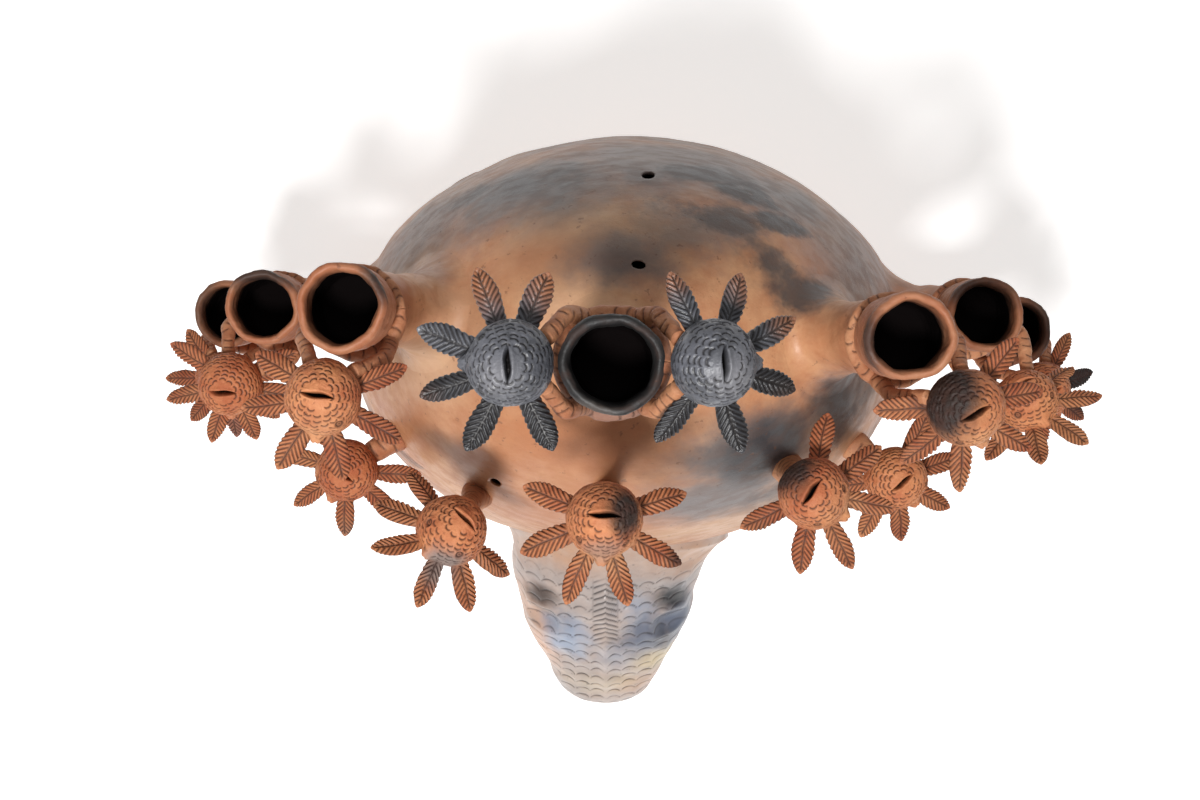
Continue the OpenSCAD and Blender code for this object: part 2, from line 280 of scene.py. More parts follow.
def lathe(name, profile, steps=112):
    """Spins an edge profile of (radius, height) pairs round the Z axis."""
    mesh = bpy.data.meshes.new(name)
    edges = [(i, i + 1) for i in range(len(profile) - 1)]
    mesh.from_pydata([(r, 0, z) for r, z in profile], edges, [])
    obj = bpy.data.objects.new(name, mesh)
    bpy.context.scene.collection.objects.link(obj)
    choose(obj)
    bpy.ops.object.mode_set(mode="EDIT")
    bpy.ops.mesh.select_all(action="SELECT")
    bpy.ops.mesh.spin(steps=steps, angle=2 * math.pi, center=(0, 0, 0), axis=(0, 0, 1))
    bpy.ops.mesh.select_all(action="SELECT")
    bpy.ops.mesh.remove_doubles(threshold=1e-6)
    bpy.ops.mesh.normals_make_consistent(inside=False)
    bpy.ops.object.mode_set(mode="OBJECT")
    return obj


def finer(profile, gap):
    """Adds points along a profile, so that none lie more than a gap apart."""
    full = [profile[0]]
    for before, after in zip(profile, profile[1:]):
        parts = max(1, math.ceil(math.dist(before, after) / gap))
        for i in range(1, parts + 1):
            share = i / parts
            full.append(tuple(b + (a - b) * share for a, b in zip(after, before)))
    return full


def softened(profile, rounds=2):
    """Rounds a profile's corners and keeps its ends."""
    for _ in range(rounds):
        cut = [profile[0]]
        for before, after in zip(profile, profile[1:]):
            cut.append(tuple(0.75 * b + 0.25 * a for a, b in zip(after, before)))
            cut.append(tuple(0.25 * b + 0.75 * a for a, b in zip(after, before)))
        cut.append(profile[-1])
        profile = cut
    return profile


def weld(name, parts):
    """Joins several closed shells into one piece."""
    deselect()
    for part in parts:
        part.select_set(True)
    bpy.context.view_layer.objects.active = parts[0]
    bpy.ops.object.join()
    parts[0].name = name
    return parts[0]


def finish_piece(obj, node, material):
    """Smooth-shades a piece, names it after its CAD node, and paints it."""
    obj.name = "clay_" + node
    obj.data.name = obj.name
    obj.data.polygons.foreach_set("use_smooth", [True] * len(obj.data.polygons))
    obj.data.materials.clear()
    obj.data.materials.append(material)
    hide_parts(node)
    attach(obj, "root")


# ---- Places, from the frame ----


@functools.cache
def body_form():
    """The body's middle at its waist, and its half width, half depth and rises."""
    dome_low, dome_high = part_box("dome_shell")
    bowl_low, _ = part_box("belly_bowl")
    middle = np.array([(dome_low.x + dome_high.x) / 2, (dome_low.y + dome_high.y) / 2, dome_low.z])
    half = np.array([(dome_high.x - dome_low.x) / 2, (dome_high.y - dome_low.y) / 2])
    return middle, half, dome_high.z - dome_low.z, dome_low.z - bowl_low.z


def rim_middle(cup):
    """Middle of a cup's rim."""
    mount = next(m for m in frame["record"]["mounts"] if m["name"] == "candle_" + cup)
    return np.array(mount["pos_m"]) + np.array([0, 0, mount["dims"]["length_mm"] * MM / 2])


def ball_middle(bird):
    """Middle of a bird's head: its beak sticks out of the box on one side only."""
    low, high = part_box("bird_" + bird)
    radius = sizes().bird
    facing = math.radians(BIRDS[bird][0])
    x = low.x + radius if math.cos(facing) > 0 else high.x - radius
    y = low.y + radius if math.sin(facing) > 0 else high.y - radius
    z = low.z + radius if BIRDS[bird][1] <= 0 else high.z - radius
    return np.array([x, y, z])


def bird_turn(bird):
    facing, lean = BIRDS[bird]
    spin = Matrix.Rotation(math.radians(facing), 3, "Z")
    tip = Matrix.Rotation(math.radians(lean), 3, "Y")
    return np.array(spin @ tip)


def skin_distance(points):
    """About how far points lie outside the body's skin."""
    middle, half, rise, drop = body_form()
    off = points - middle
    tall = np.where(off[:, 2] > 0, rise, drop)
    share = np.sqrt((off[:, 0] / half[0]) ** 2 + (off[:, 1] / half[1]) ** 2 + (off[:, 2] / tall) ** 2)
    return (share - 1) * np.linalg.norm(off, axis=1) / np.maximum(share, 1e-6) * 0.93


def skin_dents(points):
    """How far the hand-beaten skin lies inside the smooth form, below zero."""
    middle, _, rise, _ = body_form()
    dents = (waves(points, 0.11, 11) - 1) * 0.0008 + (waves(points, 0.025, 12) - 1) * 0.00016
    return dents * np.minimum(1, np.abs(points[:, 2] - middle[2]) / rise * 6 + 0.35)


def reach_skin(starts, way):
    """How far along one direction each start meets the body's skin."""
    middle, half, rise, drop = body_form()
    tall = rise if starts[:, 2].mean() + way[2] * 0.02 > middle[2] else drop
    stretch = np.array([half[0], half[1], tall])
    o = (starts - middle) / stretch
    v = way / stretch
    a = v @ v
    b = o @ v
    c = (o**2).sum(1) - 1
    return (-b - np.sqrt(np.maximum(0, b * b - a * c))) / a


# ---- Clay: node groups and materials ----


def put(tree, kind, **settings):
    node = tree.nodes.new(kind)
    for key, value in settings.items():
        setattr(node, key, value)
    return node


def wire(tree, source, target):
    tree.links.new(source, target)


def math_node(tree, operation, first, second=None, clamp=False):
    """A Math node fed by sockets or plain numbers; returns its output."""
    node = put(tree, "ShaderNodeMath", operation=operation, use_clamp=clamp)
    for socket, value in zip(node.inputs, (first, second)):
        if value is None:
            continue
        if isinstance(value, (int, float)):
            socket.default_value = value
        else:
            wire(tree, value, socket)
    return node.outputs[0]


def noise_node(tree, position, scale, detail=4.0, roughness=0.55):
    node = put(tree, "ShaderNodeTexNoise")
    node.inputs["Scale"].default_value = scale
    node.inputs["Detail"].default_value = detail
    node.inputs["Roughness"].default_value = roughness
    wire(tree, position, node.inputs["Vector"])
    return node.outputs["Fac"]


def range_node(tree, value, low, high, to_low=0.0, to_high=1.0):
    node = put(tree, "ShaderNodeMapRange", interpolation_type="SMOOTHSTEP")
    node.inputs["From Min"].default_value = low
    node.inputs["From Max"].default_value = high
    node.inputs["To Min"].default_value = to_low
    node.inputs["To Max"].default_value = to_high
    wire(tree, value, node.inputs["Value"])
    return node.outputs["Result"]


def mix_node(tree, mask, under, over, blend="MIX"):
    node = put(tree, "ShaderNodeMix", data_type="RGBA", blend_type=blend)
    for socket, value in ((node.inputs[0], mask), (node.inputs[6], under), (node.inputs[7], over)):
        if isinstance(value, bpy.types.NodeSocket):
            wire(tree, value, socket)
        elif isinstance(value, (int, float)):
            socket.default_value = value
        else:
            socket.default_value = (*value, 1)
    return node.outputs[2]


def new_group(name, inputs, outputs):
    tree = bpy.data.node_groups.new(name, "ShaderNodeTree")
    for label, kind, default in inputs:
        socket = tree.interface.new_socket(label, in_out="INPUT", socket_type=kind)
        if default is not None:
            socket.default_value = default
    for label, kind in outputs:
        tree.interface.new_socket(label, in_out="OUTPUT", socket_type=kind)
    return tree, put(tree, "NodeGroupInput"), put(tree, "NodeGroupOutput")


def stain_and_light_patch_group():
    """A soft, ragged patch round one place: smoke and other staining, and in some lists painted shadow
    and painted highlight.
    """
    tree, given, out = new_group(
        "Stain and light patch",
        (
            ("Position", "NodeSocketVector", None),
            ("Centre", "NodeSocketVector", (0, 0, 0)),
            ("Reach", "NodeSocketVector", (0.03, 0.03, 0.03)),
            ("Ragged", "NodeSocketFloat", 0.6),
            ("Edge", "NodeSocketFloat", 0.6),
            ("Strength", "NodeSocketFloat", 1.0),
        ),
        (("Mask", "NodeSocketFloat"),),
    )
    away = put(tree, "ShaderNodeVectorMath", operation="SUBTRACT")
    wire(tree, given.outputs["Position"], away.inputs[0])
    wire(tree, given.outputs["Centre"], away.inputs[1])
    share = put(tree, "ShaderNodeVectorMath", operation="DIVIDE")
    wire(tree, away.outputs[0], share.inputs[0])
    wire(tree, given.outputs["Reach"], share.inputs[1])
    far = put(tree, "ShaderNodeVectorMath", operation="LENGTH")
    wire(tree, share.outputs[0], far.inputs[0])
    broad = noise_node(tree, given.outputs["Position"], 28.0, 5.0, 0.62)
    swing = math_node(tree, "MULTIPLY", math_node(tree, "SUBTRACT", broad, 0.5), given.outputs["Ragged"])
    ragged = math_node(tree, "ADD", far.outputs["Value"], math_node(tree, "MULTIPLY", swing, 2.6))
    inner = math_node(tree, "SUBTRACT", 1.0, given.outputs["Edge"])
    span = put(tree, "ShaderNodeMapRange", interpolation_type="SMOOTHSTEP")
    wire(tree, ragged, span.inputs["Value"])
    wire(tree, inner, span.inputs["From Min"])
    outer = math_node(tree, "ADD", 1.0, math_node(tree, "MULTIPLY", given.outputs["Edge"], 0.55))
    wire(tree, outer, span.inputs["From Max"])
    wire(tree, given.outputs["Strength"], span.inputs["To Min"])
    span.inputs["To Max"].default_value = 0.0
    wire(tree, span.outputs["Result"], out.inputs["Mask"])
    return tree


def clay_grain_group():
    """Tone, grit and hand marks of low-fired clay."""
    tree, given, out = new_group(
        "Clay grain",
        (("Position", "NodeSocketVector", None), ("Grit", "NodeSocketFloat", 1.0)),
        (
            ("Tone", "NodeSocketFloat"),
            ("Speck", "NodeSocketFloat"),
            ("Height", "NodeSocketFloat"),
            ("Streak", "NodeSocketFloat"),
        ),
    )
    position = given.outputs["Position"]
    broad = noise_node(tree, position, 9.0, 5.0, 0.6)
    middle = noise_node(tree, position, 75.0, 6.0, 0.7)
    fine = noise_node(tree, position, 420.0, 4.0, 0.7)
    tone = math_node(
        tree,
        "ADD",
        math_node(tree, "MULTIPLY", broad, 0.52),
        math_node(tree, "MULTIPLY", middle, 0.48),
    )
    wire(tree, range_node(tree, tone, 0.36, 0.66), out.inputs["Tone"])
    pits = noise_node(tree, position, 230.0, 3.0, 0.6)
    wire(tree, range_node(tree, pits, 0.62, 0.72), out.inputs["Speck"])
    stretch = put(tree, "ShaderNodeVectorMath", operation="MULTIPLY")
    wire(tree, position, stretch.inputs[0])
    stretch.inputs[1].default_value = (0.5, 0.9, 1.4)
    streak = noise_node(tree, stretch.outputs[0], 150.0, 3.0, 0.5)
    wire(tree, range_node(tree, streak, 0.35, 0.68), out.inputs["Streak"])
    grit = math_node(tree, "MULTIPLY", fine, given.outputs["Grit"])
    dents = math_node(tree, "ADD", math_node(tree, "MULTIPLY", middle, 1.6), grit)
    dents = math_node(tree, "ADD", dents, math_node(tree, "MULTIPLY", streak, 0.25))
    sunk = math_node(tree, "MULTIPLY", range_node(tree, pits, 0.64, 0.76), 0.7)
    pitted = math_node(tree, "SUBTRACT", dents, sunk)
    wire(tree, pitted, out.inputs["Height"])
    return tree


def scratch_and_shade_group():
    """Darkens the scratched lines that a piece's points carry, which on the leaves also hold painted
    shade, and paints the marked depths of bores and slits near black as painted shade.
    """
    tree, given, out = new_group(
        "Scratched lines and painted shade",
        (
            ("Colour", "NodeSocketColor", (0.5, 0.3, 0.2, 1)),
            ("Line", "NodeSocketColor", (0.05, 0.02, 0.01, 1)),
            ("Hole", "NodeSocketColor", (0.004, 0.003, 0.003, 1)),
            ("Amount", "NodeSocketFloat", 0.8),
        ),
        (("Colour", "NodeSocketColor"),),
    )
    cut = put(tree, "ShaderNodeAttribute", attribute_name="cut")
    hole_shade = put(tree, "ShaderNodeAttribute", attribute_name="hole_shade")
    depth = math_node(tree, "MULTIPLY", cut.outputs["Fac"], given.outputs["Amount"], clamp=True)
    lined = mix_node(tree, depth, given.outputs["Colour"], given.outputs["Line"])
    # Painted shade: the marked depths of bores and slits take the near-black colour.
    wire(tree, mix_node(tree, hole_shade.outputs["Fac"], lined, given.outputs["Hole"]), out.inputs["Colour"])
    return tree


GROUPS = {}


def group_node(tree, name, **values):
    makers = {
        "Stain and light patch": stain_and_light_patch_group,
        "Clay grain": clay_grain_group,
        "Scratched lines and painted shade": scratch_and_shade_group,
    }
    if name not in GROUPS:
        GROUPS[name] = makers[name]()
    node = put(tree, "ShaderNodeGroup", node_tree=GROUPS[name])
    for key, value in values.items():
        socket = node.inputs[key]
        if isinstance(value, bpy.types.NodeSocket):
            wire(tree, value, socket)
        elif socket.type == "RGBA":
            socket.default_value = (*value, 1)
        else:
            socket.default_value = value
    return node


def lay_stain_and_light(tree, position, colour, over, clouds):
    """Lays one colour over a colour, at every cloud of a list of (centre
    in mm from the body's middle, reach in mm, strength, raggedness, softness). Most lists are smoke and
    other staining; some entries are partly painted shadows and painted highlights."""
    mask = None
    home = body_form()[0]
    for centre, reach, strength, ragged, edge in clouds:
        reaches = reach if isinstance(reach, tuple) else (reach,) * 3
        cloud = group_node(
            tree,
            "Stain and light patch",
            Position=position,
            Centre=tuple(h + c * MM for h, c in zip(home, centre)),
            Reach=tuple(r * MM for r in reaches),
            Strength=strength,
            Ragged=ragged,
            Edge=edge,
        ).outputs["Mask"]
        mask = cloud if mask is None else math_node(tree, "MAXIMUM", mask, cloud)
    return mix_node(tree, mask, colour, over)


def clay(
    name,
    base,
    pale,
    stain_and_light_lists,
    rough=(0.42, 0.62),
    bump=0.35,
    lines=0.85,
    coat=0.0,
    grit=1.0,
    line=None,
):
    """A fired clay: two tones, patches laid over them (smoke and other staining, some partly painted
    shadows and painted highlights), grit, dark cuts that on the leaves also carry painted shade, and
    painted shade deep in bores and slits.
    """
    material = bpy.data.materials.new(name)
    material.use_nodes = True
    tree = material.node_tree
    shader = tree.nodes["Principled BSDF"]
    position = put(tree, "ShaderNodeTexCoord").outputs["Object"]
    grain = group_node(tree, "Clay grain", Position=position, Grit=grit)
    colour = mix_node(tree, grain.outputs["Tone"], tuple(base), tuple(pale))
    for over, clouds in stain_and_light_lists:
        colour = lay_stain_and_light(tree, position, colour, tuple(over), clouds)
    streaky = range_node(tree, grain.outputs["Streak"], 0.0, 1.0, 0.0, 0.09)
    colour = mix_node(tree, streaky, colour, tuple(c * 0.62 for c in base))
    specked = range_node(tree, grain.outputs["Speck"], 0.0, 1.0, 0.0, 0.45)
    colour = mix_node(tree, specked, colour, tuple(c * 0.3 for c in base))
    # Painted black from the soot marks: smoke and soot, and in the cups' bores partly painted shade.
    soot = put(tree, "ShaderNodeAttribute", attribute_name="soot")
    colour = mix_node(tree, soot.outputs["Fac"], colour, tuple(colours().black))
    scratched = group_node(tree, "Scratched lines and painted shade", Colour=colour, Amount=lines)
    scratched.inputs["Line"].default_value = (*(line or colours().cut), 1)
    wire(tree, scratched.outputs["Colour"], shader.inputs["Base Color"])
    wire(tree, range_node(tree, grain.outputs["Streak"], 0.0, 1.0, *rough), shader.inputs["Roughness"])
    relief = put(tree, "ShaderNodeBump")
    relief.inputs["Strength"].default_value = bump
    relief.inputs["Distance"].default_value = 0.0007
    wire(tree, grain.outputs["Height"], relief.inputs["Height"])
    wire(tree, relief.outputs["Normal"], shader.inputs["Normal"])
    # The marked depths of bores and slits are painted shade: black, and without specular.
    hole_shade = put(tree, "ShaderNodeAttribute", attribute_name="hole_shade")
    gloss = range_node(tree, hole_shade.outputs["Fac"], 0.0, 1.0, 0.42, 0.0)
    wire(tree, gloss, shader.inputs["Specular IOR Level"])
    shader.inputs["Coat Weight"].default_value = coat
    shader.inputs["Coat Roughness"].default_value = 0.38
    return material


CLAYS = {}


def clay_named(name):
    """Makes each clay once."""
    if name not in CLAYS:
        CLAYS[name] = CLAY_MAKERS[name]()
    return CLAYS[name]


def burnished_clay():
    tone = colours()
    pale = [
        ((-103, -2, 179), (30, 34, 34), 0.6, 0.6, 0.9),
        ((-34, 23, 217), (34, 24, 18), 0.4, 0.7, 0.9),
        # Pale clay and partly a painted highlight: the glossy band low on the front, between the breast
        # bird and the snout.
        ((40, -103, 121), (50, 22, 34), 0.7, 0.6, 0.9),
        ((-112, 52, 145), (26, 24, 30), 0.45, 0.7, 0.9),
        ((-120, 20, 130), (26, 40, 40), 0.6, 0.6, 0.9),
        ((-16, 60, 190), (60, 16, 24), 0.5, 0.8, 0.8),
    ]
    orange = [
        ((-6, -96, 160), (90, 40, 60), 0.85, 0.5, 0.9),
        ((97, 44, 168), (24, 22, 26), 0.85, 0.6, 0.8),
        ((-50, 44, 199), (50, 20, 20), 0.55, 0.7, 0.9),
        ((-30, -48, 202), (56, 34, 28), 0.85, 0.5, 0.9),
        ((34, -6, 218), (26, 26, 18), 0.5, 0.7, 0.9),
        ((-66, -56, 150), (30, 30, 40), 0.6, 0.7, 0.9),
    ]
    # Dark brown smudges; those inboard of and behind the left upper tube's root are partly its painted
    # shadow.
    brown_and_tube_shadow = [
        ((-112, 24, 165), (32, 26, 28), 0.8, 0.6, 0.8),
        ((-80, 13, 197), (28, 22, 20), 0.4, 0.8, 0.9),
        ((-102, 60, 145), (26, 18, 24), 0.5, 0.8, 0.8),
        ((112, 3, 170), (28, 28, 28), 0.75, 0.6, 0.8),
        ((-135, 50, 97), (24, 34, 40), 0.6, 0.8, 0.9),
        ((135, 40, 100), (24, 34, 40), 0.5, 0.8, 0.9),
    ]
    tubes = [
        ((-128, 18, 245), (34, 34, 52), 0.85, 0.5, 0.9),
        ((-194, 20, 115), (40, 36, 62), 0.85, 0.5, 0.9),
        ((-235, 18, -10), (80, 36, 52), 0.85, 0.5, 0.9),
        ((122, 5, 245), (34, 34, 52), 0.85, 0.5, 0.9),
        ((188, 16, 115), (40, 36, 62), 0.85, 0.5, 0.9),
        ((229, 8, -10), (80, 36, 52), 0.85, 0.5, 0.9),
    ]
    grey = [
        ((-60, 84, 152), (68, 37, 48), 0.92, 0.45, 0.7),
        ((-94, 78, 130), (40, 31, 43), 0.65, 0.6, 0.8),
        ((-22, 88, 158), (54, 28, 34), 0.78, 0.6, 0.8),
        ((12, 96, 150), (77, 31, 45), 0.82, 0.5, 0.8),
        ((54, 92, 140), (60, 34, 45), 0.88, 0.5, 0.8),
        ((86, 80, 130), (45, 40, 54), 0.85, 0.6, 0.8),
        ((116, 57, 125), (48, 51, 74), 0.62, 0.6, 0.9),
        ((0, 44, 209), (30, 20, 28), 0.7, 0.8, 0.7),
        ((-104, 70, 118), (44, 40, 44), 0.7, 0.6, 0.8),
        ((30, 104, 118), (90, 34, 60), 0.8, 0.5, 0.8),
        ((35, 60, 196), (45, 23, 28), 0.62, 1.0, 0.7),
        ((59, -56, 187), (45, 26, 37), 0.9, 0.6, 0.7),
        ((48, -82, 160), (43, 31, 40), 0.88, 0.6, 0.7),
        ((118, -24, 155), (31, 31, 45), 0.55, 0.8, 0.8),
        ((0, 110, 40), (213, 57, 85), 0.7, 0.7, 0.9),
        ((120, -90, -20), (85, 85, 85), 0.6, 0.8, 0.8),
        ((-110, -90, -40), (85, 85, 71), 0.6, 0.8, 0.8),
        ((188, 20, 150), (31, 31, 37), 0.5, 0.8, 0.8),
        ((-205, 36, 150), (28, 28, 37), 0.6, 0.8, 0.8),
    ]
    dark = [
        ((64, 80, 153), (26, 10, 18), 0.9, 1.3, 0.5),
        ((40, 92, 150), (30, 8, 16), 0.75, 1.4, 0.5),
        ((82, 62, 165), (26, 9, 18), 0.9, 1.3, 0.5),
        ((-88, 78, 126), (26, 9, 16), 0.6, 1.4, 0.6),
        ((54, 66, 184), (36, 13, 18), 0.75, 1.2, 0.6),
        ((74, 42, 190), (26, 17, 18), 0.88, 1.1, 0.6),
        ((90, 26, 186), (20, 17, 18), 0.9, 1.0, 0.6),
        ((98, 8, 183), (14, 12, 14), 0.95, 0.7, 0.6),
        ((-58, 88, 148), (44, 13, 16), 0.6, 1.0, 0.7),
        # These three, at the right front round the right shoulder bird, are black smoke and partly
        # painted shadow of that bird and the right upper cup.
        ((74, -54, 178), (35, 25, 36), 0.95, 0.4, 0.6),
        ((108, -36, 160), (24, 30, 36), 0.85, 0.7, 0.6),
        ((92, -78, 120), (22, 22, 34), 0.7, 0.8, 0.7),
        ((8, 89, 161), (14, 12, 12), 0.5, 0.8, 0.8),
        ((1, 40, 212), (16, 13, 12), 0.5, 0.8, 0.8),
    ]
    return clay(
        "Burnished clay",
        tone.orange,
        tone.cream,
        (
            (tone.pale, pale),
            ((0.43, 0.172, 0.078), orange),
            (tone.brown, tubes),
            ((0.185, 0.066, 0.031), brown_and_tube_shadow),
            (tone.smoke, grey),
            ((0.036, 0.034, 0.037), dark),
        ),
        rough=(0.44, 0.58),
        bump=0.32,
        coat=0.10,
    )


def cup_clay():
    tone = colours()
    grey = [
        ((-111, 32, 292), (11, 14, 12), 0.95, 0.8, 0.6),
        ((-196, 40, 158), (26, 12, 12), 0.9, 0.8, 0.7),
        ((-259, 18, 50), (14, 40, 20), 0.7, 0.8, 0.7),
        ((102, 2, 292), (11, 20, 14), 0.9, 0.8, 0.7),
        ((177, 30, 158), (26, 12, 12), 0.8, 0.8, 0.7),
        ((249, 10, 50), (18, 30, 22), 0.85, 0.6, 0.8),
        ((-9, -5, 376), (40, 40, 60), 1.0, 0.5, 0.4),
    ]
    # Lighter grey on the top cup's rim: wear of its smoke and partly a painted highlight, the rim's
    # glint.
    wear_and_glint = [((-22, -24, 378), (12, 4, 8), 0.5, 1.4, 0.7), ((16, 14, 378), (6, 10, 8), 0.5, 1.2, 0.7)]
    return clay(
        "Cup clay",
        tone.brown,
        (0.43, 0.20, 0.105),
        (((0.013, 0.012, 0.012), grey), ((0.10, 0.085, 0.075), wear_and_glint)),
        rough=(0.52, 0.7),
        bump=0.4,
    )


def incised_clay():
    tone = colours()
    black = [
        ((-1, -70, 302), (13, 12, 9), 0.96, 0.8, 0.6),
        ((26, -93, 284), (12, 9, 10), 0.95, 0.6, 0.6),
        ((28, -62, 284), (11, 8, 10), 0.9, 0.8, 0.6),
        ((72, -54, 242), (17, 19, 16), 0.98, 0.6, 0.5),
        ((55, -56, 228), (16, 18, 16), 0.9, 0.8, 0.6),
        ((138, -23, 292), (15, 18, 16), 0.97, 0.5, 0.45),
        ((69, -97, 222), (9, 14, 12), 0.7, 0.9, 0.8),
        ((288, -24, 22), (24, 22, 30), 1.0, 0.3, 0.4),
        ((276, -62, 22), (14, 14, 24), 0.9, 0.5, 0.5),
    ]
    grey = [
        ((-89, -104, 238), (12, 11, 9), 0.85, 0.6, 0.7),
        ((-59, -82, 288), (9, 12, 12), 0.7, 0.8, 0.7),
        ((-12, -90, 302), (10, 8, 8), 0.5, 0.8, 0.8),
        ((-247, -60, 26), (18, 12, 14), 0.6, 0.9, 0.7),
        ((-157, -110, 118), (16, 10, 12), 0.55, 0.9, 0.7),
    ]
    # Pale clay and partly a painted highlight on the lit fronts and tops of the bird heads.
    pale = [
        ((-138, -32, 286), (13, 13, 13), 0.55, 0.6, 0.9),
        ((-9, -88, 288), (15, 12, 13), 0.6, 0.6, 0.9),
        ((95, -76, 238), (15, 13, 13), 0.6, 0.6, 0.9),
        ((155, -38, 286), (14, 12, 13), 0.5, 0.6, 0.9),
    ]
    return clay(
        "Incised clay",
        (0.37, 0.088, 0.031),
        (0.62, 0.252, 0.106),
        (((0.64, 0.36, 0.18), pale), ((0.20, 0.185, 0.175), grey), (tone.black, black)),
        rough=(0.60, 0.76),
        bump=0.6,
        lines=0.96,
        grit=1.4,
    )


def smoked_clay():
    orange = [
        ((-64, 30, 352), (15, 15, 18), 0.95, 0.6, 0.7),
        ((-32, 30, 352), (13, 15, 18), 0.95, 0.6, 0.7),
        ((13, 31, 352), (12, 14, 18), 0.8, 0.8, 0.7),
        ((46, 33, 352), (12, 14, 18), 0.85, 0.8, 0.7),
        ((68, 12, 350), (14, 12, 18), 0.95, 0.5, 0.7),
        ((68, -22, 350), (14, 12, 18), 0.9, 0.6, 0.7),
        ((14, -42, 350), (10, 10, 18), 0.7, 0.9, 0.7),
        ((-86, -20, 350), (11, 9, 18), 0.75, 0.9, 0.7),
    ]
    ash = [
        ((-55, -12, 378), (12, 10, 10), 0.6, 0.8, 0.8),
        ((39, -12, 378), (12, 12, 10), 0.65, 0.9, 0.8),
        ((-87, 6, 354), (6, 12, 12), 0.65, 1.0, 0.7),
        ((-83, -24, 354), (9, 8, 12), 0.5, 1.0, 0.7),
        ((13, -40, 354), (10, 9, 12), 0.5, 1.2, 0.7),
        ((39, -42, 354), (12, 8, 12), 0.5, 1.2, 0.7),
    ]
    return clay(
        "Smoked clay",
        (0.060, 0.062, 0.071),
        (0.170, 0.174, 0.200),
        (((0.42, 0.165, 0.075), orange), ((0.24, 0.235, 0.25), ash)),
        rough=(0.30, 0.46),
        bump=0.5,
        lines=0.95,
        coat=0.15,
        grit=1.2,
        line=(0.010, 0.007, 0.006),
    )


def coil_clay():
    tone = colours()
    return clay(
        "Coil clay",
        (0.33, 0.112, 0.048),
        (0.54, 0.26, 0.13),
        ((tone.smoke, [((-9, -22, 326), (40, 26, 14), 0.45, 1.0, 0.8)]),),
        rough=(0.62, 0.78),
        bump=0.55,
        lines=0.9,
        grit=1.3,
    )


def snout_clay():
    tone = colours()
    grey = [
        ((30, -139, 14), (28, 16, 26), 0.75, 0.6, 0.8),
        ((-56, -136, 10), (20, 16, 26), 0.6, 0.7, 0.8),
        ((-12, -150, 20), (24, 24, 24), 0.6, 0.7, 0.9),
    ]
    pink = [
        ((-55, -192, -22), (14, 40, 36), 0.9, 0.4, 0.9),
        ((-64, -160, -8), (14, 26, 36), 0.8, 0.5, 0.9),
        ((46, -170, -10), (12, 24, 30), 0.6, 0.6, 0.9),
        ((10, -222, -40), (26, 12, 24), 0.6, 0.6, 0.9),
    ]
    yellow = [
        ((18, -204, -24), (20, 12, 26), 0.9, 0.6, 0.8),
        ((-14, -218, -36), (28, 12, 24), 0.7, 0.6, 0.9),
    ]
    pale_blue = [
        ((-34, -182, 0), (17, 20, 28), 0.9, 0.8, 0.7),
        ((4, -166, 8), (17, 14, 26), 0.7, 0.9, 0.7),
        ((-8, -198, -12), (15, 14, 24), 0.5, 0.9, 0.8),
    ]
    blue = [
        ((14, -180, 0), (25, 20, 28), 0.95, 0.7, 0.7),
        ((32, -174, -6), (18, 26, 30), 1.0, 0.5, 0.7),
        ((-38, -170, 2), (14, 12, 22), 0.55, 0.9, 0.8),
    ]
    shadow = [
        ((25, -158, 8), (13, 10, 22), 1.0, 0.4, 0.5),
        ((24, -186, -8), (9, 8, 20), 0.6, 0.9, 0.7),
    ]
    brown = [((-50, -156, 8), (15, 11, 22), 1.0, 0.4, 0.5)]
    neck = [
        ((-30, -124, 20), (50, 17, 60), 0.85, 0.7, 0.8),
        ((40, -128, 10), (40, 15, 60), 0.8, 0.7, 0.8),
        ((68, -130, -10), (16, 24, 40), 0.8, 0.6, 0.8),
    ]
    return clay(
        "Snout clay",
        (0.36, 0.30, 0.275),
        tone.snout,
        (
            ((0.60, 0.33, 0.20), pink),
            ((0.60, 0.47, 0.27), yellow),
            ((0.34, 0.335, 0.345), grey),
            ((0.50, 0.262, 0.138), neck),
            ((0.28, 0.35, 0.47), pale_blue),
            (tone.blue, blue),
            ((0.055, 0.03, 0.021), brown),
            ((0.016, 0.017, 0.021), shadow),
        ),
        rough=(0.34, 0.48),
        bump=0.2,
        lines=0.98,
        coat=0.22,
        line=(0.034, 0.027, 0.026),
    )


CLAY_MAKERS = {
    "burnished": burnished_clay,
    "cup": cup_clay,
    "incised": incised_clay,
    "smoked": smoked_clay,
    "coil": coil_clay,
    "snout": snout_clay,
}


# ---- Body ----


def body_half(node, upper):
    """Half of the hollow body: a globe cut at the waist, made uneven by hand."""
    middle, half, rise, drop = body_form()
    deselect()
    rings = 168 if upper else 112
    bpy.ops.mesh.primitive_uv_sphere_add(segments=264, ring_count=rings, radius=1)
    obj = bpy.context.object
    bpy.ops.object.mode_set(mode="EDIT")
    bpy.ops.mesh.select_all(action="SELECT")
    bpy.ops.mesh.bisect(
        plane_co=(0, 0, 0), plane_no=(0, 0, 1), clear_inner=upper, clear_outer=not upper
    )
    bpy.ops.object.mode_set(mode="OBJECT")
    unit = points_of(obj)
    points = unit * np.array([half[0], half[1], rise if upper else drop]) + middle
    points = points + unit * skin_dents(points)[:, None]
    points[:, 2] = np.where(unit[:, 2] == 0, middle[2], points[:, 2])
    move_points(obj, points)
    apply_modifier(obj, "SOLIDIFY", thickness=sizes().wall, offset=-1)
    if upper:
        press_vents(obj)
    finish_piece(obj, node, clay_named("burnished"))


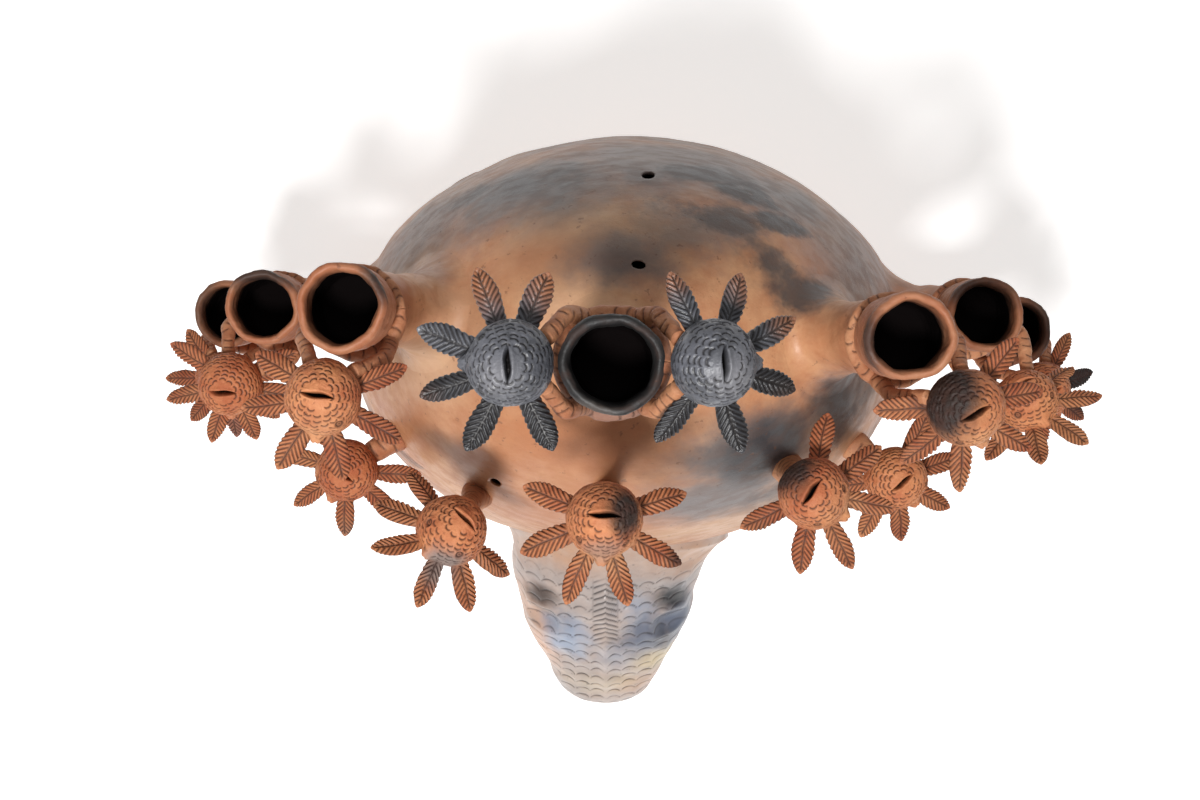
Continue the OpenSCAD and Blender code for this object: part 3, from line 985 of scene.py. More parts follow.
def press_vents(dome):
    """Cuts the three oblong firing vents through the dome."""
    middle = body_form()[0]
    for x, y, oblong, turn in VENTS:
        deselect()
        place = (middle[0] + x * MM, middle[1] + y * MM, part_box("dome_shell")[1].z)
        bpy.ops.mesh.primitive_cylinder_add(
            vertices=28, radius=0.0021, depth=0.30, location=place
        )
        cutter = bpy.context.object
        cutter.scale = (oblong, 1.0, 1.0)
        cutter.rotation_euler = (0, 0, turn)
        apply_modifier(
            dome, "BOOLEAN", object=cutter, operation="DIFFERENCE", solver="EXACT"
        )
        bpy.data.objects.remove(cutter)


def make_leg(side, end):
    """A stub leg, hollow below, that swells up into the belly."""
    name = f"leg_{end}_{side}"
    low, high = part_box(name)
    middle = np.array([(low.x + high.x) / 2, (low.y + high.y) / 2, 0])
    profile = [(0, 60), (16, 60), (20, 54), (20, 4), (21.5, 0.6), (24, 0), (27, 0.6), (29.2, 6)]
    profile += [(28.6, 20), (28.8, 40), (31, 62), (35, 82), (39.5, 98), (42, 112)]
    profile += [(43, 123), (30, 128), (0, 130)]
    profile = [(r * MM, z * MM) for r, z in softened(profile)]
    obj = lathe(name, finer(profile, 0.0022), 96)
    points = points_of(obj) + middle
    around = waves(points, 0.05, seed_of(name)) * 0.0008
    outer = np.hypot(points[:, 0] - middle[0], points[:, 1] - middle[1])
    far = outer > 0.0225
    ways = (points - middle) * np.array([1, 1, 0]) / np.maximum(outer, 1e-6)[:, None]
    lift = smooth(0, 0.008, points[:, 2])
    points += ways * (around * lift * far)[:, None]
    gap = skin_distance(points)
    spread = 0.012 * np.exp(-np.maximum(gap, 0) / 0.009) * far
    points += ways * spread[:, None]
    middle_body, half, _, drop = body_form()
    inside = (
        1
        - ((points[:, 0] - middle_body[0]) / half[0]) ** 2
        - ((points[:, 1] - middle_body[1]) / half[1]) ** 2
    )
    under = middle_body[2] - drop * np.sqrt(np.maximum(inside, 0)) + 0.004
    points[:, 2] = np.minimum(points[:, 2], under)
    move_points(obj, points)
    finish_piece(obj, name, clay_named("burnished"))


# ---- Snout ----


def make_snout():
    """The scaly head: a flattened taper with a ridge, eye hollows and scales."""
    stations, over, under = 290, 170, 50
    low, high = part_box("animal_head")
    slope = math.radians(30)
    root_width, tip_width, flat = 0.059, 0.028, 0.76
    middle, half, _, _ = body_form()
    base = np.array([(low.x + high.x) / 2, middle[1] - half[1], middle[2]])
    ahead = np.array([0, -math.cos(slope), -math.sin(slope)])
    across = np.array([1.0, 0, 0])
    upward = np.array([0, -math.sin(slope), math.cos(slope)])
    head_root = 0.070
    whole = head_root + (base[1] - low.y) / math.cos(slope)
    whole -= 0.0035
    straight = whole - tip_width
    # Along the head: close rings outside the body, and closer over the round tip.
    start = 0.036
    tip = 40
    shaft = np.linspace(start, straight, stations - tip, endpoint=False)
    rounded = straight + tip_width * np.sin(np.linspace(0, math.pi / 2 - 0.03, tip))
    t = np.concatenate([shaft, rounded])
    fine = np.linspace(0, 1, 401)
    taper = np.interp(
        fine,
        (0, 0.15, 0.38, 0.56, 0.68, 0.75, 0.83, 0.88, 0.91, 0.95, 0.98, 1),
        (59, 59, 55, 47.5, 41.5, 38, 34, 31, 28, 21.5, 13, 0),
    )
    taper = np.pad(taper, 12, mode="reflect", reflect_type="odd")
    taper = np.convolve(taper, np.ones(25) / 25, mode="valid") / 59
    width = root_width * np.interp((t - head_root) / (whole - head_root), fine, taper)
    above = np.linspace(0, math.pi, over, endpoint=False)
    below = np.linspace(math.pi, 2 * math.pi, under, endpoint=False)
    angles = np.concatenate([above, below])
    x = np.cos(angles)[None, :] * width[:, None]
    v = np.sin(angles)[None, :] * width[:, None] * flat
    along = np.repeat(t[:, None], len(angles), 1)
    top = np.clip(np.sin(angles), 0, 1)[None, :] ** 0.5
    out_x = np.cos(angles)[None, :]
    out_v = np.sin(angles)[None, :]
    free = along - head_root
    push = np.zeros_like(x)
    cut = np.zeros_like(x)
    # The ridge, and a low brow on each side of it.
    ridge = 0.0022 * groove(x, 0.0042) * smooth(0.130, 0.06, free) * top
    push += ridge
    eyes = ((-0.0385, 0.036), (0.0390, 0.039))
    for eye_x, eye_t in eyes:
        away = np.hypot(x - eye_x, (free - eye_t) * 1.15)
        push -= 0.0042 * np.exp(-((away / 0.0075) ** 2)) * top
        push += 0.0016 * np.exp(-(((away - 0.0125) / 0.004) ** 2)) * top
    # Scales in columns either side of the ridge, rounded towards the body.
    rng = np.random.default_rng(5)
    column = sizes().snout_scale
    row = 0.0084
    laid_flat = np.stack([x.ravel(), along.ravel(), 0 * x.ravel()], 1)
    side_way = np.abs(x) + waves(laid_flat, 0.05, 3).reshape(x.shape) * 0.0006
    cell = side_way / column
    number = np.floor(cell)
    u = cell - number - 0.5
    shift = rng.uniform(-0.0012, 0.0012, (2, 12))
    drift = shift[(x > 0).astype(int), np.clip(number, 0, 11).astype(int)]
    bow = 0.0052 * np.sqrt(np.maximum(0, 1 - (2 * u) ** 2))
    phase = (along + bow + drift) / row
    line = np.abs(phase - np.round(phase)) * row
    region = top * smooth(-0.012, 0.002, free) * smooth(0.129, 0.120, free)
    region *= 1 - groove(x, 0.0022) * smooth(0.03, 0.05, free) * 0.8
    own_places = np.stack([x.ravel(), along.ravel(), v.ravel()], 1)
    weight = 0.75 + 0.25 * waves(own_places, 0.012, 8).reshape(x.shape)
    scales = groove(line, 0.00066) * region * weight * smooth(0.48, 0.42, np.abs(u))
    strip = smooth(0.0082, 0.0070, np.abs(x)) * smooth(0.052, 0.044, free)
    scales *= 1 - strip
    bones = (along - np.abs(x) * 0.8) / 0.0044
    herring = groove(np.abs(bones - np.round(bones)) * 0.0044, 0.0007) * strip * region
    edges = groove(np.abs(x) - 0.0078, 0.0004) * region * smooth(0.054, 0.046, free) * 0.3
    cut = np.maximum.reduce([scales, herring, edges])
    push -= cut * 0.00055
    dents = waves(own_places, 0.045, 21).reshape(x.shape)
    push += dents * 0.0009 * np.minimum(1, (whole - along) / 0.02)
    x = x + out_x * push
    v = v + out_v * push / flat * 0.9
    points = (
        base
        + across * x[..., None]
        + upward * v[..., None]
        + ahead * (along - head_root)[..., None]
    )
    # The smeared fillet where the neck meets the body, broader on the right.
    flatten = points.reshape(-1, 3)
    gap = np.maximum(skin_distance(flatten), 0)
    turn = np.stack([out_x + 0 * x, out_v + 0 * x], -1).reshape(-1, 2)
    right = smooth(-0.2, 0.9, turn[:, 0])
    amount = (0.003 + 0.015 * right) * np.exp(-gap / (0.005 + 0.006 * right))
    flatten = (
        flatten
        + across * (turn[:, :1] * amount[:, None])
        + upward * (turn[:, 1:] * amount[:, None] * 0.3)
    )
    loops = flatten.reshape(points.shape)
    obj = loft("snout", loops)
    mark(obj, "cut", np.append(cut.ravel(), (0, 0)))
    finish_piece(obj, "animal_head", clay_named("snout"))


# ---- Tubes, cups and coils ----


def make_tube(node, cup, side, turn):
    """A tube that drops from its cup, bends inwards and is smeared onto the body."""
    size = sizes()
    around = 88
    top = rim_middle(cup) - np.array([0, 0, size.cup_height + 0.00015])
    inward = np.array([-side, 0, 0], float)
    down = np.array([0, 0, -1.0])
    depth = np.array([0, 1.0, 0])
    bend = math.radians(turn)
    collar, elbow = 0.015, 0.026
    centres, normals = [], []
    for drop in np.linspace(0.0005, collar, 10):
        centres.append(top + down * drop)
        normals.append(inward)
    for a in np.linspace(0, bend, max(2, int(turn / 2.5)))[1:]:
        centres.append(top + down * (collar + elbow * math.sin(a)) + inward * elbow * (1 - math.cos(a)))
        normals.append(inward * math.cos(a) - down * math.sin(a))
    way = down * math.cos(bend) + inward * math.sin(bend)
    angles = np.linspace(0, 2 * math.pi, around, endpoint=False)
    loops = []
    for centre, normal in zip(centres, normals):
        ring = np.cos(angles)[:, None] * normal + np.sin(angles)[:, None] * depth
        loops.append(centre + ring * size.tube)
    end, normal = centres[-1], normals[-1]
    ring = np.cos(angles)[:, None] * normal + np.sin(angles)[:, None] * depth
    plain = reach_skin(end + ring * size.tube, way)
    flare = size.fillet
    upper_rounds = np.linspace(0, 0.7, 26)[1:]
    root_rounds = 1 - (1 - 0.7) * np.linspace(1, 0, 34)[1:] ** 1.3
    rounds = np.concatenate([upper_rounds, root_rounds])
    for share in rounds:
        left = np.maximum(plain * (1 - share), 0)
        near = np.clip(1 - left / (flare * 1.5), 0, 1)
        add = flare * (1 - np.sqrt(np.maximum(0, 1 - near**2)))
        foot = end + ring * (size.tube + add)[:, None]
        hit = reach_skin(foot, way)
        loops.append(foot + way * (hit * share)[:, None])
    foot = end + ring * (size.tube + flare * 1.02)
    loops.append(foot + way * (reach_skin(foot, way) + 0.004)[:, None])
    loops = np.array(loops)
    flat = loops.reshape(-1, 3)
    near_skin = smooth(0.0, 0.01, skin_distance(flat))
    seed = seed_of(node)
    wave = waves(flat, 0.045, seed) * 0.0009 + waves(flat, 0.012, seed + 1) * 0.0002
    cores = np.array(centres + [end] * (len(loops) - len(centres)))
    rings = np.repeat(cores[:, None], around, 1).reshape(-1, 3)
    out = flat - rings
    out -= (out @ way)[:, None] * way
    out /= np.maximum(np.linalg.norm(out, axis=1), 1e-6)[:, None]
    flat = flat + out * (wave * near_skin)[:, None]
    middle, half, rise, _ = body_form()
    outward = (flat - middle) / np.array([half[0], half[1], rise])
    outward /= np.linalg.norm(outward, axis=1)[:, None]
    rooted = smooth(0.022, 0.0, skin_distance(flat))
    flat = flat + outward * ((skin_dents(flat) - 0.00025) * rooted)[:, None]
    obj = loft(node, flat.reshape(loops.shape))
    finish_piece(obj, node, clay_named("burnished"))


def make_cup(cup):
    """A thick-rimmed candle cup, a little out of round, sooty inside, with painted shade deep in its
    bore.
    """
    size = sizes()
    node = "cup_" + cup
    rim = rim_middle(cup)
    outer, bore, tall = size.cup / MM, size.bore / MM, size.cup_height / MM
    profile = [
        (0, 0), (12, 0), (outer - 3.0, 0), (outer - 1.7, 2.5), (outer - 0.9, 8),
        (outer - 0.5, 18), (outer - 0.7, 30), (outer - 0.9, 35), (outer - 0.2, 39),
        (outer, 42), (outer - 0.5, tall - 0.8), (outer - 1.8, tall), (outer - 3.0, tall - 0.2),
        (bore + 0.2, tall - 1.8), (bore, tall - 5), (bore, 26), (bore, 14),
        (bore - 1.5, 9), (bore - 6, 7.4), (0, 7),
    ]
    fine = finer([(r * MM, z * MM) for r, z in softened(profile)], 0.0011)
    obj = lathe(node, fine, 120)
    local = points_of(obj)
    seed = seed_of(cup)
    radius = np.hypot(local[:, 0], local[:, 1])
    turn = np.arctan2(local[:, 1], local[:, 0])
    out = local * np.array([1, 1, 0]) / np.maximum(radius, 1e-6)[:, None]
    lift = smooth(0.006, 0.035, local[:, 2])
    rng = np.random.default_rng(seed)
    phase = rng.uniform(0, 6.28, 4)
    oval = (
        0.00045 * np.sin(2 * turn + phase[0])
        + 0.0003 * np.sin(3 * turn + phase[1])
        + 0.00018 * np.sin(7 * turn + phase[2])
    )
    rough = waves(local, 0.016, seed) * 0.00035 + waves(local, 0.005, seed + 1) * 0.00009
    ring_marks = 0.00012 * np.sin(local[:, 2] * 2 * math.pi / 0.0042 + 1.5 * np.sin(turn + phase[3]))
    wall = smooth(0.010, 0.0145, radius)
    points = local + out * ((oval * lift + rough + ring_marks) * wall)[:, None]
    sag = 0.0004 * np.sin(turn + phase[0]) + 0.0003 * np.sin(4 * turn + phase[1]) - 0.0008
    points[:, 2] += sag * smooth(0.036, 0.044, local[:, 2])
    inner = smooth(bore * MM + 0.0013, bore * MM + 0.0002, radius)
    ragged = waves(local, 0.02, seed + 5) * 0.005
    depth = smooth(tall * MM - 0.002, tall * MM - 0.022, local[:, 2] + ragged)
    # Soot inside the bore, darker with depth: candle soot and partly painted shade.
    soot = inner * (0.35 + 0.65 * depth) * (local[:, 2] > 0.0065)
    if cup == "top":
        soot = inner * (local[:, 2] > 0.0065) * 0.97
    base = rim - np.array([0, 0, tall * MM])
    move_points(obj, points + base)
    mark(obj, "soot", soot)
    # Painted shade: the deep bore is marked to be painted near black, without specular.
    deep = smooth(tall * MM - 0.006, tall * MM - 0.016, local[:, 2])
    mark(obj, "hole_shade", inner * deep * (local[:, 2] > 0.0065))
    finish_piece(obj, node, clay_named("cup"))


def roll(name, path, radius, seed, nicks=True):
    """A hand-rolled coil along a path, with pressed nicks on it."""
    path = np.array(path, float)
    steps = np.linalg.norm(np.diff(path, axis=0), axis=1)
    reach = np.concatenate([[0], np.cumsum(steps)])
    count = max(12, int(reach[-1] / 0.0006))
    s = np.linspace(0, reach[-1], count)
    line = np.stack([np.interp(s, reach, path[:, i]) for i in range(3)], 1)
    for _ in range(10):
        line[1:-1] = (line[:-2] + 2 * line[1:-1] + line[2:]) / 4
    way = np.gradient(line, axis=0)
    way /= np.linalg.norm(way, axis=1)[:, None]
    side = np.cross(way, np.array([0.0, 0, 1.0]))
    side /= np.maximum(np.linalg.norm(side, axis=1), 1e-9)[:, None]
    up = np.cross(side, way)
    around = 36
    angles = np.linspace(0, 2 * math.pi, around, endpoint=False)
    wide = np.asarray(radius) if np.ndim(radius) else np.full(len(path), radius)
    wide = np.interp(s, reach, wide)
    turned = np.cos(angles)[None, :, None] * side[:, None] + np.sin(angles)[None, :, None] * up[:, None]
    loops = line[:, None] + turned * wide[:, None, None]
    flat = loops.reshape(-1, 3)
    lump = waves(flat, 0.018, seed) * 0.00035 + waves(flat, 0.005, seed + 1) * 0.0001
    cut = np.zeros(len(flat))
    if nicks:
        rng = np.random.default_rng(seed)
        along = np.repeat(s, around)
        facing = np.tile(angles, count)
        for start in np.arange(0.004, reach[-1] - 0.003, 0.0052):
            centre = start + rng.uniform(-0.001, 0.001)
            aim = math.pi / 2 + rng.uniform(-0.9, 0.9)
            off = (facing - aim + math.pi) % (2 * math.pi) - math.pi
            bow = along - centre - 0.0011 * np.cos(off * 1.6)
            nick = groove(bow, 0.00042) * smooth(0.95, 0.75, np.abs(off))
            cut = np.maximum(cut, nick)
    ends = smooth(0, 0.002, np.repeat(np.minimum(s, reach[-1] - s), around))
    flat = flat + turned.reshape(-1, 3) * (lump * ends - cut * 0.0006)[:, None]
    obj = loft(name, flat.reshape(loops.shape))
    mark(obj, "cut", np.append(cut, (0, 0)))
    return obj


def wrapped_coil(cup, birds):
    """A coil wrapped under a cup, with two arms that hold each bird."""
    size = sizes()
    radius = size.coil
    top = rim_middle(cup) - np.array([0, 0, size.cup_height])
    level = top - np.array([0, 0, radius + 0.0012])
    hoop = size.tube + radius * 0.62
    ring = []
    seats = [ball_middle(bird) - level for bird in birds]
    near = np.full(64, -1.0)
    for step, a in enumerate(np.linspace(0, 2 * math.pi, 64)):
        way = np.array([math.cos(a), math.sin(a), 0])
        for seat in seats:
            near[step] = max(near[step], way @ seat / np.linalg.norm(seat[:2]))
        if len(birds) > 1:
            near[step] = max(near[step], -way[1])
        ring.append(level + (hoop - 0.0012 * (1 - near[step])) * way)
    wide = radius * (0.62 + 0.38 * smooth(-0.3, 0.6, near))
    parts = [roll("coil_ring_" + cup, ring, wide, seed_of(cup))]
    for number, bird in enumerate(birds):
        ball = ball_middle(bird)
        aside = math.atan2(ball[1] - level[1], ball[0] - level[0])
        for arm in (-1, 1):
            a = aside + arm * 1.02
            start = level + hoop * np.array([math.cos(a), math.sin(a), 0])
            back = ball - 0.75 * size.bird * np.array([math.cos(aside), math.sin(aside), 0])
            over = np.array([-math.sin(aside), math.cos(aside), 0]) * arm
            target = back + over * 0.0095 - np.array([0, 0, 0.003])
            knee = (start + target) / 2 + over * 0.006 + np.array([0, 0, -0.001])
            path = [start, knee, target]
            taper = [radius * 0.95, radius * 0.86, radius * 0.8]
            parts.append(roll(f"arm_{bird}_{arm}", path, taper, 40 + number * 7 + arm))
    return parts


def make_stem(bird):
    """A stem that stands on the dome and holds a bird."""
    size = sizes()
    foot_turn, foot_rise, side = STEMS[bird]
    middle, half, rise, _ = body_form()
    a, b = math.radians(foot_turn), math.radians(foot_rise)
    foot = [side * math.sin(a) * math.cos(b), -math.cos(a) * math.cos(b), math.sin(b)]
    skin = middle + np.array(foot) * np.array([half[0], half[1], rise])
    ball = ball_middle(bird)
    way = (ball - skin) / np.linalg.norm(ball - skin)
    start = skin - way * 0.016
    end = ball - way * size.bird * 0.8
    bow = np.array([side * 0.3, -0.2, 0.6]) * 0.002
    shares = np.linspace(0, 1, 24)
    path = [start + (end - start) * k + bow * math.sin(math.pi * k) for k in shares]
    stretch = np.linalg.norm(end - start)
    far = np.linspace(0, stretch, 24)
    wide = size.coil * 1.12 + 0.004 * np.exp(-np.maximum(far - 0.016, 0) / 0.012)
    return roll("stem_" + bird, path, wide, seed_of(bird) + 3)


# ---- Birds and leaves ----


def scale_rows(polar, turn, radius, seed):
    """Rows of short scratched arcs round a bird's crown, rounded away from it."""
    rng = np.random.default_rng(seed)
    gap = sizes().scale_row / radius
    first = math.radians(24)
    total = int(math.radians(98) / gap)
    starts = rng.uniform(0, 1, total + 3)
    odds = rng.uniform(0, 1, (total + 3, 64, 3))
    lines = np.zeros_like(polar)
    nearest = np.round((polar - first) / gap).astype(int)
    for shift in (-1, 0, 1):
        row = nearest + shift
        real = (row >= 0) & (row < total)
        kept = np.clip(row, 0, total)
        ring = first + gap * kept
        count = np.maximum(5, np.round(2 * math.pi * np.sin(ring) * radius / 0.0046)).astype(int)
        cell = (turn / (2 * math.pi) + 1) * count + starts[kept]
        number = np.floor(cell).astype(int)
        u = cell - number - 0.5
        own = odds[kept, number % count % 64]
        bow = (1 - (2 * u) ** 2) * 0.00150 / radius
        away = (polar - ring - bow + 0.0005 / radius - (own[..., 0] - 0.5) * 0.0009 / radius) * radius
        span = smooth(0.43, 0.36, np.abs(u + (own[..., 1] - 0.5) * 0.12))
        lines = np.maximum(lines, groove(away, 0.00048) * span * real * (own[..., 2] > 0.14))
    return lines


def make_bird(bird):
    """A round head: scratched scales, a lens-shaped slit in the crown, two
    stamped ring eyes and a pinched beak. Its own frame looks along +X."""
    radius = sizes().bird
    deselect()
    bpy.ops.mesh.primitive_uv_sphere_add(segments=192, ring_count=112, radius=1)
    obj = bpy.context.object
    unit = points_of(obj)
    # More rings over the crown and the sides, fewer below.
    share = np.arccos(np.clip(unit[:, 2], -1, 1)) / math.pi
    crowded = share / 0.86 * math.radians(124)
    sparse = math.radians(124) + (share - 0.86) / 0.14 * math.radians(56)
    polar = np.where(share < 0.86, crowded, sparse)
    turn = np.arctan2(unit[:, 1], unit[:, 0])
    seed = seed_of(bird)
    unit = np.stack([np.sin(polar) * np.cos(turn), np.sin(polar) * np.sin(turn), np.cos(polar)], 1)
    x, y, z = (unit * radius).T
    scales = scale_rows(polar, turn, radius, seed)
    push = waves(unit * radius, 0.026, seed) * 0.00035 + waves(unit * radius, 0.005, seed + 1) * 0.00012
    cut = scales.copy()
    # Stamped eyes.
    for side in (-1, 1):
        level = math.cos(EYE_RISE)
        eye = np.array(
            [level * math.cos(EYE_TURN), side * level * math.sin(EYE_TURN), math.sin(EYE_RISE)]
        )
        away = np.linalg.norm(unit - eye, axis=1) * radius
        cut *= smooth(0.0022, 0.0031, away)
        ring = groove(away - 0.00155, 0.00062)
        pit = groove(away, 0.00075)
        cut = np.maximum(cut, np.maximum(ring, pit))
        push += 0.0005 * groove(away - 0.0027, 0.0008)
    # The slit in the crown, with soft lips.
    long, wide = 0.0083, 0.0015
    crown = z > 0
    lens = wide * np.maximum(1e-3, 1 - (y / long) ** 2)
    across = np.abs(x + 0.0003 * np.sin(y / 0.0022)) / lens
    inside = smooth(1.12, 0.62, across) * crown * (np.abs(y) < long)
    lips = groove(np.abs(x) - lens - 0.0008, 0.0009) * smooth(long * 1.15, long * 0.8, np.abs(y)) * crown
    push += 0.0004 * lips
    cut *= 1 - inside
    # The beak: two small lobes pinched out between the front leaves.
    side_way = turn * radius
    rise = (math.pi / 2 - polar) * radius + 0.0012
    front = np.abs(turn) < 1.2
    beak = np.exp(-((side_way / 0.0031) ** 2) - (rise / 0.0030) ** 2) * front
    parted = groove(side_way, 0.0007) * 0.0010 + groove(rise + 0.0006, 0.0005) * 0.0009
    push += beak * (0.0044 - parted)
    cut *= 1 - smooth(0.25, 0.5, beak)
    cut = np.maximum(cut, groove(rise + 0.0006, 0.0005) * beak * 0.8)
    push -= cut * 0.00075
    depth = inside * 0.0055
    points = unit * (radius - 0.0008 + push - depth)[:, None]
    move_points(obj, points @ bird_turn(bird).T + ball_middle(bird))
    mark(obj, "cut", cut)
    # Painted shade: the slit's inside is marked to be painted near black.
    mark(obj, "hole_shade", inside)
    tone = "smoked" if bird.startswith("top") else "incised"
    finish_piece(obj, "bird_" + bird, clay_named(tone))


def leaf_blank():
    """One flat leaf along +X with a scratched midrib and slanted veins, as loops
    and the depth of its cuts, which also carry painted shade towards the leaf's base and round its rim."""
    size = sizes()
    long, half = size.leaf, size.leaf_width / 2
    share = np.linspace(0, 1, 84) ** 0.96
    widths = np.interp(
        share,
        (0, 0.1, 0.22, 0.36, 0.5, 0.64, 0.78, 0.88, 0.95, 0.985, 1),
        (0.62, 0.68, 0.78, 0.88, 0.94, 0.93, 0.80, 0.60, 0.37, 0.19, 0.04),
    )
    widths = np.convolve(np.pad(widths, 2, mode="edge"), np.ones(5) / 5, mode="valid") * half
    over = np.sin(np.linspace(-math.pi / 2, math.pi / 2, 29)) * 0.5 + np.linspace(-1, 1, 29) * 0.5
    under = np.linspace(1, -1, 9)[1:-1]
    v = np.concatenate([over, under])
    rim = np.sqrt(np.maximum(0, 1 - np.abs(v) ** 2.8))
    thick = np.interp(share, (0, 0.5, 0.85, 1), (0.0023, 0.0019, 0.0013, 0.0005))
    z_top = thick[:, None] * rim[None, :29]
    z_low = -thick[:, None] * 0.9 * rim[None, 29:]
    x = np.repeat((share * long)[:, None], len(v), 1)
    y = v[None, :] * widths[:, None]
    z = np.concatenate([z_top, z_low], 1)
    top = np.concatenate([np.ones(29), np.zeros(7)])[None, :]
    slant = x - np.abs(y) * 1.05
    phase = slant / size.vein_gap
    veins = groove(np.abs(phase - np.round(phase)) * size.vein_gap, 0.00058)
    veins *= smooth(0.0003, 0.0008, np.abs(y))
    veins *= smooth(0.14, 0.22, x / long) * smooth(0.99, 0.93, x / long)
    midrib = groove(y, 0.00062) * smooth(0.10, 0.18, x / long) * smooth(0.98, 0.9, x / long)
    cut = np.maximum(veins, midrib) * top
    z = z - cut * 0.00085
    y = y * (1 - 0.09 * cut)
    # Painted shade, carried with the cuts: darker towards the leaf's base and round its rim.
    painted_shade = 0.5 * smooth(0.34, 0.04, x / long) + 0.3 * smooth(0.7, 1.0, np.abs(v))[None, :]
    return np.stack([x, y, z], -1), np.maximum(cut, painted_shade)


def make_leaves(bird):
    """Six leaves round a bird, each set by hand with its own bend and curl."""
    size = sizes()
    blank, cut = leaf_blank()
    shape = blank.shape
    seed = seed_of(bird) * 3 + 1
    rng = np.random.default_rng(seed)
    home = ball_middle(bird)
    turn = bird_turn(bird).T
    parts = []
    root, drop, droop = size.bird - 0.006, 0.005, 14
    for number, yaw in enumerate(LEAF_TURNS):
        points = blank.reshape(-1, 3).copy()
        points[:, 0] *= rng.uniform(0.93, 1.0)
        points[:, 1] *= rng.uniform(0.90, 1.08)
        share = points[:, 0] / size.leaf
        points[:, 1] += rng.uniform(-0.0022, 0.0022) * share**2
        points[:, 2] += rng.uniform(-0.0022, 0.0030) * share**2
        twist = rng.uniform(-0.35, 0.35) * share
        y, z = points[:, 1].copy(), points[:, 2].copy()
        points[:, 1] = y * np.cos(twist) - z * np.sin(twist)
        points[:, 2] = y * np.sin(twist) + z * np.cos(twist)
        cup = rng.uniform(-10, 26)
        points[:, 2] += cup * points[:, 1] ** 2
        points += waves(points, 0.012, seed + number)[:, None] * np.array([0, 0.0002, 0.00025])
        own = rng.uniform(-5, 5, 2) * (0.8 if bird.endswith("lower") else 1.7)
        tip = Matrix.Rotation(math.radians(droop + own[0]), 3, "Y")
        spin = Matrix.Rotation(math.radians(yaw + own[1] * 0.7), 3, "Z")
        points = points @ np.array(tip).T + np.array([root, 0, -drop])
        points = points @ np.array(spin).T
        leaf = loft(f"leaf_{bird}_{number}", (points @ turn + home).reshape(shape))
        # The cut marks also carry the leaf's painted shade at its base and rim.
        mark(leaf, "cut", np.append(cut.ravel(), (0, 0)))
        smoke = 0.14 * rng.uniform() + 0.10 * share
        if bird.startswith("top"):
            smoke = smoke + 0.66 * smooth(0.5, 0.1, math.sin(math.radians(BIRDS[bird][0] + yaw)))
        mark(leaf, "soot", np.append(smoke, (0, 0)))
        parts.append(leaf)
    obj = weld("leaves_" + bird, parts)
    tone = "smoked" if bird.startswith("top") else "incised"
    finish_piece(obj, "leaves_" + bird, clay_named(tone))


# ---- Operators ----


class CLAY_OT_body(bpy.types.Operator):
    """Build the dome, the belly bowl and the four stub legs"""

    bl_idname = "clay.body"
    bl_label = "Body and legs"

    def execute(self, context):
        body_half("dome_shell", True)
        body_half("belly_bowl", False)
        for side in SIDES:
            for end in ("front", "back"):
                make_leg(side, end)
        return {"FINISHED"}


class CLAY_OT_snout(bpy.types.Operator):
    """Build the animal's scaly head"""

    bl_idname = "clay.snout"
    bl_label = "Scaly head"

    def execute(self, context):
        make_snout()
        return {"FINISHED"}


class CLAY_OT_tubes(bpy.types.Operator):
    """Build the trunk and the six side tubes"""

    bl_idname = "clay.tubes"
    bl_label = "Trunk and tubes"

    def execute(self, context):
        make_tube("trunk", "top", 1, 0)
        for name, side in SIDES.items():
            for tier in TIERS:
                make_tube(f"tube_{name}_{tier}", f"{name}_{tier}", side, TUBE_TURN[tier])
        return {"FINISHED"}


class CLAY_OT_cups(bpy.types.Operator):
    """Build the seven candle cups"""

    bl_idname = "clay.cups"
    bl_label = "Candle cups"

    def execute(self, context):
        make_cup("top")
        for name in SIDES:
            for tier in TIERS:
                make_cup(f"{name}_{tier}")
        return {"FINISHED"}


class CLAY_OT_coils(bpy.types.Operator):
    """Build the coils and the stems that carry the birds"""

    bl_idname = "clay.coils"
    bl_label = "Coils and stems"

    def execute(self, context):
        top = weld("coil_top", wrapped_coil("top", ("top_left", "top_right")))
        finish_piece(top, "coil_top", clay_named("coil"))
        for name in SIDES:
            parts = []
            for tier in TIERS:
                parts += wrapped_coil(f"{name}_{tier}", (f"{name}_{tier}",))
            finish_piece(weld("coils_" + name, parts), "coils_" + name, clay_named("coil"))
        finish_piece(make_stem("breast"), "stem_breast", clay_named("coil"))
        for name in SIDES:
            pair = weld("stems_" + name, [make_stem(name + "_shoulder"), make_stem(name + "_flank")])
            finish_piece(pair, "stems_" + name, clay_named("coil"))
        return {"FINISHED"}


class CLAY_OT_birds(bpy.types.Operator):
    """Build the thirteen bird heads"""

    bl_idname = "clay.birds"
    bl_label = "Bird heads"

    def execute(self, context):
        for bird in BIRDS:
            make_bird(bird)
        return {"FINISHED"}


class CLAY_OT_leaves(bpy.types.Operator):
    """Build the leaves round every bird"""

    bl_idname = "clay.leaves"
    bl_label = "Leaves"

    def execute(self, context):
        for bird in BIRDS:
            make_leaves(bird)
        return {"FINISHED"}


